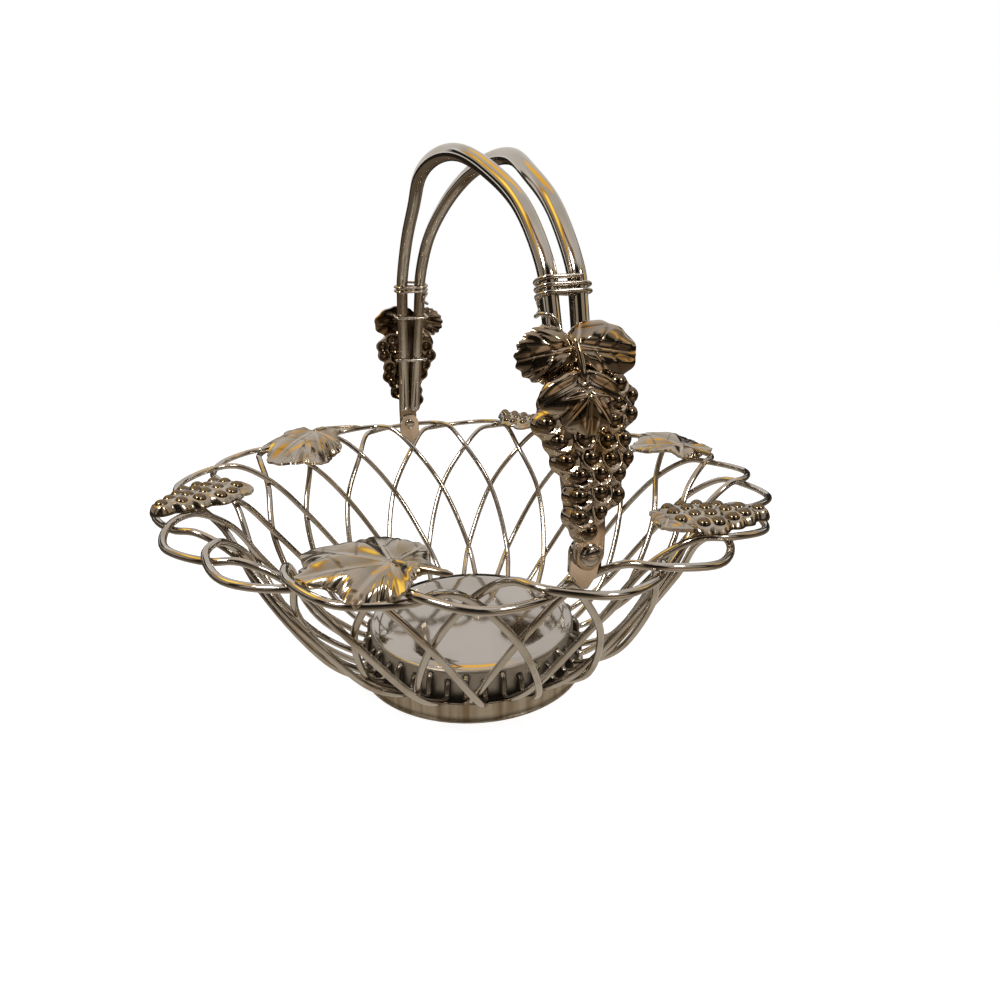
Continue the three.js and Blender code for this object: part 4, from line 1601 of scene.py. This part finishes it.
    def strap_line(self) -> list[tuple[Vector, float]]:
        """The line up the inner face of the back strap, bent where it meets the tubes.

        Returns:
            Its points, each with the strap's half width there.
        """
        half, low, inner = self.strap_width / 2, self.hinge_height, self.strap_inner
        line = []
        for i in range(self.strap_steps + 1):
            angle = pi / 2 * i / self.strap_steps
            wide = max(half * sin(angle), self.strap_end)
            line.append((Vector((0, inner, low - half * cos(angle))), wide))
        line += [(Vector((0, inner, low + self.tube_rise * s)), half) for s in self.strap_shares]
        top = self.strap_length - self.tube_rise
        bent = [(self.strap_start, 1.0), *((top * share, 1.0) for share in self.strap_upper)]
        bent += [(top + rise, share) for rise, share in self.tongue]
        leg, lift = self.leg_frame, self.strap_lift
        return line + [(leg @ Vector((0, lift, z)), half * share) for z, share in bent]

    def strap(self, end: End) -> None:
        """Makes one strap, a bar with softened edges.

        Args:
            end: Which end.
        """
        line, thick = self.strap_line(), self.strap_thickness
        rings = []
        for i, (place, wide) in enumerate(line):
            before, after = line[max(i - 1, 0)][0], line[min(i + 1, len(line) - 1)][0]
            out = (after - before).normalized().cross(Vector((1, 0, 0)))
            soft = min(self.strap_soft, wide * 0.5)
            side = [(wide - soft, 0), (wide, soft), (wide, thick - soft), (wide - soft, thick)]
            rings.append([place + Vector((x, 0, 0)) + out * t for x, t in mirrored(side)])
        # painted shade on the tongue's rings
        shaded_rings = len(self.tongue)
        relief_shade = [1.0] * (len(line) - shaded_rings) + [self.painted_shade] * shaded_rings
        parts = MeshParts()
        parts.loft(rings, relief_shade, end.turn)
        obj = parts.build(f"leg_strap_{end.label}", self.bar, self.sharp)
        hand_over(obj, Body.HANDLE, [f"handle_strap_{end.label}"])

    def binding_wire(self, end: End) -> None:
        """Makes the wire wound round both tubes, and its curled tendril.

        Args:
            end: Which end.
        """
        half, straight = self.shoulder_spread / 2, self.shoulder_spread
        radius = (self.tube.diameter + self.slack + self.binding.diameter) / 2
        turns = self.turns + self.last_turn
        count = round(turns * self.coil_steps)
        coil = []
        for turn in (i / count * turns for i in range(count + 1)):
            back, share = divmod(turn % 1 * 2, 1)
            sign, part = 1 - 2 * back, share * (straight + pi * radius)
            angle = max(part - straight, 0) / radius
            x = min(part, straight) - half + radius * sin(angle)
            z = self.leg_length - (turn - self.turns / 2) * self.pitch
            coil.append(Vector((sign * x, sign * radius * cos(angle), z)))
        last = coil[-1]
        stations = [last] + [Vector((x, y, last.z + z)) for x, y, z in self.tendril]
        place = end.turn @ self.leg_frame
        line = [place @ p for p in [*coil[:-1], *smooth_course(stations, self.tendril_steps)]]
        obj = self.tree.make(f"shoulder_binding_{end.label}", [line], self.binding, self.plate)
        hand_over(obj, Body.HANDLE, [f"binding_wire_{end.label}"])

    def ties(self, end: End) -> None:
        """Makes the thin wires that tie a cluster to its leg.

        Args:
            end: Which end.
        """
        tie = self.tie.diameter
        half = self.shoulder_spread / 2 + self.strap_lift + tie / 2
        behind, bend = -self.strap_lift - tie / 2, tie * BEND_MIDDLE
        side = [
            (half, self.cluster_lift - self.gap + self.tie_tuck),
            (half, 0.0),
            (half, behind + tie),
            (half - bend, behind + bend),
            (half - tie, behind),
        ]
        place = end.turn @ self.leg_frame
        for number, up in enumerate(self.tie_places, 1):
            stations = [place @ Vector((x, y, up)) for x, y in mirrored(side)]
            course = smooth_course(stations, self.tie_steps)
            obj = self.tree.make(f"tie_{end.label}_{number}", [course], self.tie, self.plate)
            hand_over(obj, Body.HANDLE, [f"cluster_tie_{end.label}_{number}"])

    def lug(self, end: End) -> None:
        """Makes one lug: a straight plate with a round top and a blunt point in the V of two wires.

        Args:
            end: Which end.
        """
        low, thick, soft = self.hinge_height - self.lug_depth, self.lug_thickness, self.lug_soft
        foot = [(x, low + rise) for x, rise in self.lug_foot]
        eye = arc((0, self.hinge_height), self.lug_radius, 0, 180, self.lug_steps)
        outline = [Vector(p) for p in (*eye, *mirrored(foot))]
        middle = Vector((0, self.hinge_height - self.lug_middle))
        rings = []
        for depth, inset in ((0, soft), (soft, 0), (thick - soft, 0), (thick, soft)):
            ring = [middle + (p - middle) * (1 - inset / (p - middle).length) for p in outline]
            rings.append([(p.x, self.lug_inner + depth, p.y) for p in ring])
        parts = MeshParts()
        parts.loft(rings, place=end.turn)
        obj = parts.build(f"eye_lug_{end.label}", self.plate, self.sharp)
        hand_over(obj, Body.BASKET, [f"hinge_lug_{end.label}"])

    def rivet(self, end: End) -> None:
        """Makes one rivet with its domed head, its collar and its upset tail.

        Args:
            end: Which end.
        """
        head, tail = self.strap_inner + self.strap_thickness, self.lug_inner
        radius, tail_radius, soft = self.head_diameter / 2, self.tail_diameter / 2, self.tail_round
        dome = []
        for i in range(self.dome_steps):
            angle = pi / 2 * i / self.dome_steps
            up = head + self.dome_foot + self.dome_rise * sin(angle)
            dome.append(((radius - self.dome_inset) * cos(angle), up))
        outline = [
            (0.0, tail - self.tail_height),
            *arc((tail_radius - soft, tail - soft), soft, -90, 0, self.tail_steps),
            (tail_radius, tail - self.tail_gap),
            (self.shank, tail),
            (self.shank, head),
            *((radius + out, head + up) for out, up in self.collar),
            *dome,
            (0.0, head + self.dome_foot + self.dome_rise),
        ]
        hinge = Matrix.Translation((0, 0, self.hinge_height)) @ turn_about("X", -90)
        parts = MeshParts()
        parts.loft(turned(outline, self.rivet_segments), place=end.turn @ hinge)
        obj = parts.build(f"domed_rivet_{end.label}", self.plate)
        hand_over(obj, Body.BASKET, [f"hinge_rivet_{end.label}"])


# ---------------------------------------------------------------- studio


@dataclass(frozen=True)
class Lamp:
    """A round soft lamp: where it stands in degrees, its size, its power and its colour."""

    name: str
    azimuth: float
    elevation: float
    size: float
    power: float
    colour: Colour
    mirrored: bool = True


@dataclass(frozen=True)
class Card:
    """A bent sheet round the set: its middle, its width and its edges' elevations in degrees."""

    name: str
    azimuth: float
    width: float
    low: float
    high: float
    colour: Colour


@dataclass(frozen=True)
class Cloth:
    """A flat disc on the table: its middle, its reach and its height, and how solid its edge is."""

    name: str
    middle: Flat
    reach: float
    height: float
    colour: Colour
    edge: float = 0.0


LAMPS = (
    Lamp("key", -150, 50, 0.26, 4.5, (1.0, 0.97, 0.93)),
    Lamp("fill", -62, 40, 0.18, 2.0, (1.0, 0.94, 0.86)),
    Lamp("back", 50, 58, 0.3, 3.4, (0.97, 0.98, 1.0), mirrored=False),
)
CARDS = (
    Card("ceiling", 0, 360, 34, 90, (0.66, 0.64, 0.63)),
    Card("skirting", 0, 360, -9, 10, (0.02, 0.016, 0.012)),
    Card("back_wall", 62, 110, 9, 52, (0.74, 0.71, 0.68)),
    Card("left_wall", 176, 94, 9, 44, (0.34, 0.29, 0.23)),
    Card("right_wall", -32, 84, 9, 44, (0.34, 0.29, 0.23)),
    Card("front_wall", -109, 116, 9, 58, (0.40, 0.34, 0.28)),
    Card("front_ceiling", -115, 120, 54, 84, (0.78, 0.69, 0.62)),
    Card("brown_beam", -140, 90, 58, 70, (0.22, 0.14, 0.07)),
    Card("front_figure", -110, 54, 3, 62, (0.012, 0.009, 0.006)),
    Card("left_cupboard", -166, 18, 3, 48, (0.015, 0.011, 0.008)),
    Card("right_cupboard", -40, 20, 3, 48, (0.015, 0.011, 0.008)),
    Card("right_glow", -18, 12, 8, 44, (1.1, 0.7, 0.2)),
    Card("back_dark", 128, 30, 14, 32, (0.02, 0.015, 0.01)),
    Card("back_dark_right", 24, 22, 3, 34, (0.02, 0.016, 0.012)),
    Card("gold_curtain", 153, 64, 34, 66, (0.8, 0.42, 0.06)),
    Card("gold_curtain_sun", 150, 44, 42, 60, (1.9, 1.35, 0.24)),
    Card("gold_shade", 70, 64, 52, 70, (1.3, 0.74, 0.12)),
)
CLOTHS = (
    Cloth("table", (0.0, 0.0), 2.4, 0.0004, (0.13, 0.10, 0.07), edge=1.0),
    Cloth("cloth", (0.0, 0.0), 0.3, 0.0008, (0.50, 0.445, 0.37)),
    Cloth("napkin", (0.14, -0.42), 0.2, 0.0012, (0.72, 0.54, 0.38)),
)


@dataclass
class Studio:
    """A pale floor and world, soft lamps, cards for the metal to reflect, and the camera."""

    # the camera's place round the origin in degrees, and its turns from looking there in radians
    distance: float = 0.3639
    azimuth: float = -109.06
    elevation: float = 31.61
    pan: float = -0.0487
    tilt: float = 0.2336
    roll: float = 0.0331
    lens: float = 23.177
    sensor: float = 36.0
    clip: Flat = (0.01, 50.0)
    world_light: Colour = (0.95, 0.96, 1.0)
    world_strength: float = 0.5
    floor_size: float = 60.0
    floor_drop: float = 0.0005
    floor_colour: Colour = (0.34, 0.34, 0.34)
    floor_glow: float = 0.86
    # painted shadow: radius under the foot where the floor's glow is left out, and the width of its
    # edge
    painted_shadow_radius: float = 0.045
    painted_shadow_edge: float = 0.01
    centre_height: float = 0.1
    lamp_distance: float = 1.15
    card_distance: float = 1.7
    card_step: float = 0.02
    card_span: float = 6.0
    card_rows: int = 6
    cloth_sides: int = 32

    def build(self) -> None:
        """Makes the whole set."""
        bpy.context.scene.view_settings.view_transform = "Standard"
        self.camera()
        self.world()
        self.floor()
        for lamp in LAMPS:
            self.lamp(lamp)
        for number, card in enumerate(CARDS):
            self.card(card, self.card_distance - self.card_step * number)
        for cloth in CLOTHS:
            self.cloth(cloth)

    def camera(self) -> None:
        """Makes the camera, placed and turned as the photographer's was."""
        azimuth, elevation = radians(self.azimuth), radians(self.elevation)
        flat = Vector((cos(azimuth), sin(azimuth), 0)) * cos(elevation)
        place = self.distance * (flat + Vector((0, 0, sin(elevation))))
        ahead, right = -place.normalized(), Vector((-sin(azimuth), cos(azimuth), 0))
        up = right.cross(ahead)
        pan = Matrix.Rotation(self.pan, 3, up)
        ahead, right = pan @ ahead, pan @ right
        tilt = Matrix.Rotation(self.tilt, 3, right)
        ahead, up = tilt @ ahead, tilt @ up
        roll = Matrix.Rotation(self.roll, 3, ahead)
        right, up = roll @ right, roll @ up
        data = bpy.data.cameras.new("camera")
        data.lens, data.sensor_width = self.lens, self.sensor
        data.clip_start, data.clip_end = self.clip
        camera = in_scene("camera", data)
        axes = Matrix((right, up, -ahead)).transposed().to_4x4()
        camera.matrix_world = Matrix.Translation(place) @ axes
        bpy.context.scene.camera = camera

    def world(self) -> None:
        """Makes a world that is white where it is seen and gives a soft even light."""
        world = bpy.context.scene.world = bpy.data.worlds.new("studio")
        bench = ShaderBench(world)
        inputs = {"Color": self.world_light, "Strength": self.world_strength}
        light = bench.add("ShaderNodeBackground", inputs)
        white = bench.add("ShaderNodeBackground", {"Color": (1, 1, 1)})
        inputs = {"Fac": bench.seen(), 1: light, 2: white}
        bench.end(bench.add("ShaderNodeMixShader", inputs))

    def floor(self) -> None:
        """Makes the pale floor, which keeps the object's shadow, and a painted shadow under the
        foot.
        """
        place = (0, 0, -self.floor_drop)
        bpy.ops.mesh.primitive_plane_add(size=self.floor_size, location=place)
        floor = bpy.context.object
        floor.name = "floor"
        bench = ShaderBench(bpy.data.materials.new("pale floor"))
        matt = bench.add("ShaderNodeBsdfDiffuse", {"Color": self.floor_colour})
        place = bench.add("ShaderNodeTexCoord", out="Object")
        away = bench.add("ShaderNodeVectorMath", {0: place}, "Value", operation="LENGTH")
        # painted shadow under the foot: the glow is left out inside this radius
        edge = self.painted_shadow_radius + self.painted_shadow_edge
        lit = bench.remap(away, self.painted_shadow_radius, edge, 0.0, self.floor_glow)
        glow = bench.calc("MULTIPLY", lit, bench.seen())
        glow = bench.add("ShaderNodeEmission", {"Strength": glow})
        both = bench.add("ShaderNodeAddShader", {0: matt, 1: glow})
        floor.data.materials.append(bench.end(both))

    def stand(self, azimuth: float, elevation: float, distance: float) -> Vector:
        """A place round the set.

        Args:
            azimuth: Angle about the Z axis, in degrees.
            elevation: Angle over the horizon of the basket's middle, in degrees.
            distance: How far away, in metres.

        Returns:
            The place.
        """
        turn, rise = radians(azimuth), radians(elevation)
        flat, up = distance * cos(rise), distance * sin(rise) + self.centre_height
        return Vector((flat * cos(turn), flat * sin(turn), up))

    def lamp(self, form: Lamp) -> None:
        """Makes one soft lamp, aimed at the basket's middle.

        Args:
            form: The lamp.
        """
        data = bpy.data.lights.new(form.name, "AREA")
        data.shape, data.size = "DISK", form.size
        data.energy, data.color = form.power, form.colour
        lamp = in_scene(form.name, data)
        lamp.location = self.stand(form.azimuth, form.elevation, self.lamp_distance)
        aim = Vector((0, 0, self.centre_height)) - lamp.location
        lamp.rotation_euler = aim.to_track_quat("-Z", "Y").to_euler()
        lamp.visible_glossy = form.mirrored

    def card(self, form: Card, distance: float) -> None:
        """Makes one card, faded at its edges.

        Args:
            form: The card.
            distance: How far away it stands.
        """
        across, up = max(4, round(form.width / self.card_span)), self.card_rows
        whole, rise = form.width == 360, form.high - form.low
        points, fade, faces = [], [], []
        for j in range(up + 1):
            for i in range(across + 1):
                turn = form.azimuth + form.width * (i / across - 0.5)
                points.append(self.stand(turn, form.low + rise * j / up, distance))
                fade.append(float(j > 0 and (whole or (0 < i < across and j < up))))
        for j in range(up):
            for a in range(j * (across + 1), j * (across + 1) + across):
                faces.append((a, a + across + 1, a + across + 2, a + 1))
        self.hang(form, points, faces, fade)

    def cloth(self, form: Cloth) -> None:
        """Makes one disc of the table, which the undersides reflect.

        Args:
            form: The disc.
        """
        sides, faces = self.cloth_sides, []
        middle = Vector((*form.middle, form.height))
        points = [middle]
        for out in (form.reach / 2, form.reach):
            points += [middle + out * Vector((cos(a), sin(a), 0)) for a in round_steps(sides)]
        for i in range(sides):
            a, b = 1 + i, 1 + (i + 1) % sides
            faces += [(0, a, b), (a, sides + a, sides + b, b)]
        self.hang(form, points, faces, [1.0] * (1 + sides) + [form.edge] * sides)

    @staticmethod
    def hang(
        form: Card | Cloth, points: list[Vector], faces: list[Face], fade: list[float]
    ) -> None:
        """Hangs a sheet in the set, which only reflections show.

        Args:
            form: The sheet, for its name and colour.
            points: Its vertices, in metres.
            faces: Its faces.
            fade: How solid it is at each vertex, from 0 to 1.
        """
        mesh = bpy.data.meshes.new(form.name)
        mesh.from_pydata(points, [], faces)
        mesh.attributes.new(FADE, "FLOAT", "POINT").data.foreach_set("value", fade)
        bench = ShaderBench(bpy.data.materials.new(form.name))
        share = bench.add("ShaderNodeAttribute", out="Fac", attribute_name=FADE)
        clear = bench.add("ShaderNodeBsdfTransparent")
        glow = bench.add("ShaderNodeEmission", {"Color": form.colour})
        inputs = {"Fac": share, 1: clear, 2: glow}
        mesh.materials.append(bench.end(bench.add("ShaderNodeMixShader", inputs)))
        sheet = in_scene(form.name, mesh)
        sheet.visible_camera = sheet.visible_diffuse = sheet.visible_shadow = False
        sheet.visible_transmission = sheet.visible_volume_scatter = False


def main() -> None:
    """Builds the set and every piece."""
    logging.basicConfig(level=logging.INFO, format="%(name)s: %(message)s")
    Studio().build()
    wires, grapes = WireTree(), GrapeTree()
    wire, strip = WIRE_PLATE.build(), STRIP_PLATE.build()
    bowl = Bowl(wires, wire)
    bowl.build()
    Foot(strip, DISC_PLATE.build(), bowl).build()
    handle = Handle(wires, wire, TUBE_PLATE.build(), strip)
    handle.build()
    cluster = Cluster(grapes, SHADED_CAST.build())
    for end in End:
        cluster.build(end, handle.leg_frame, handle.cluster_lift)
    RimOrnaments(grapes, BRIGHT_CAST.build()).build()


if __name__ == "__main__":
    main()
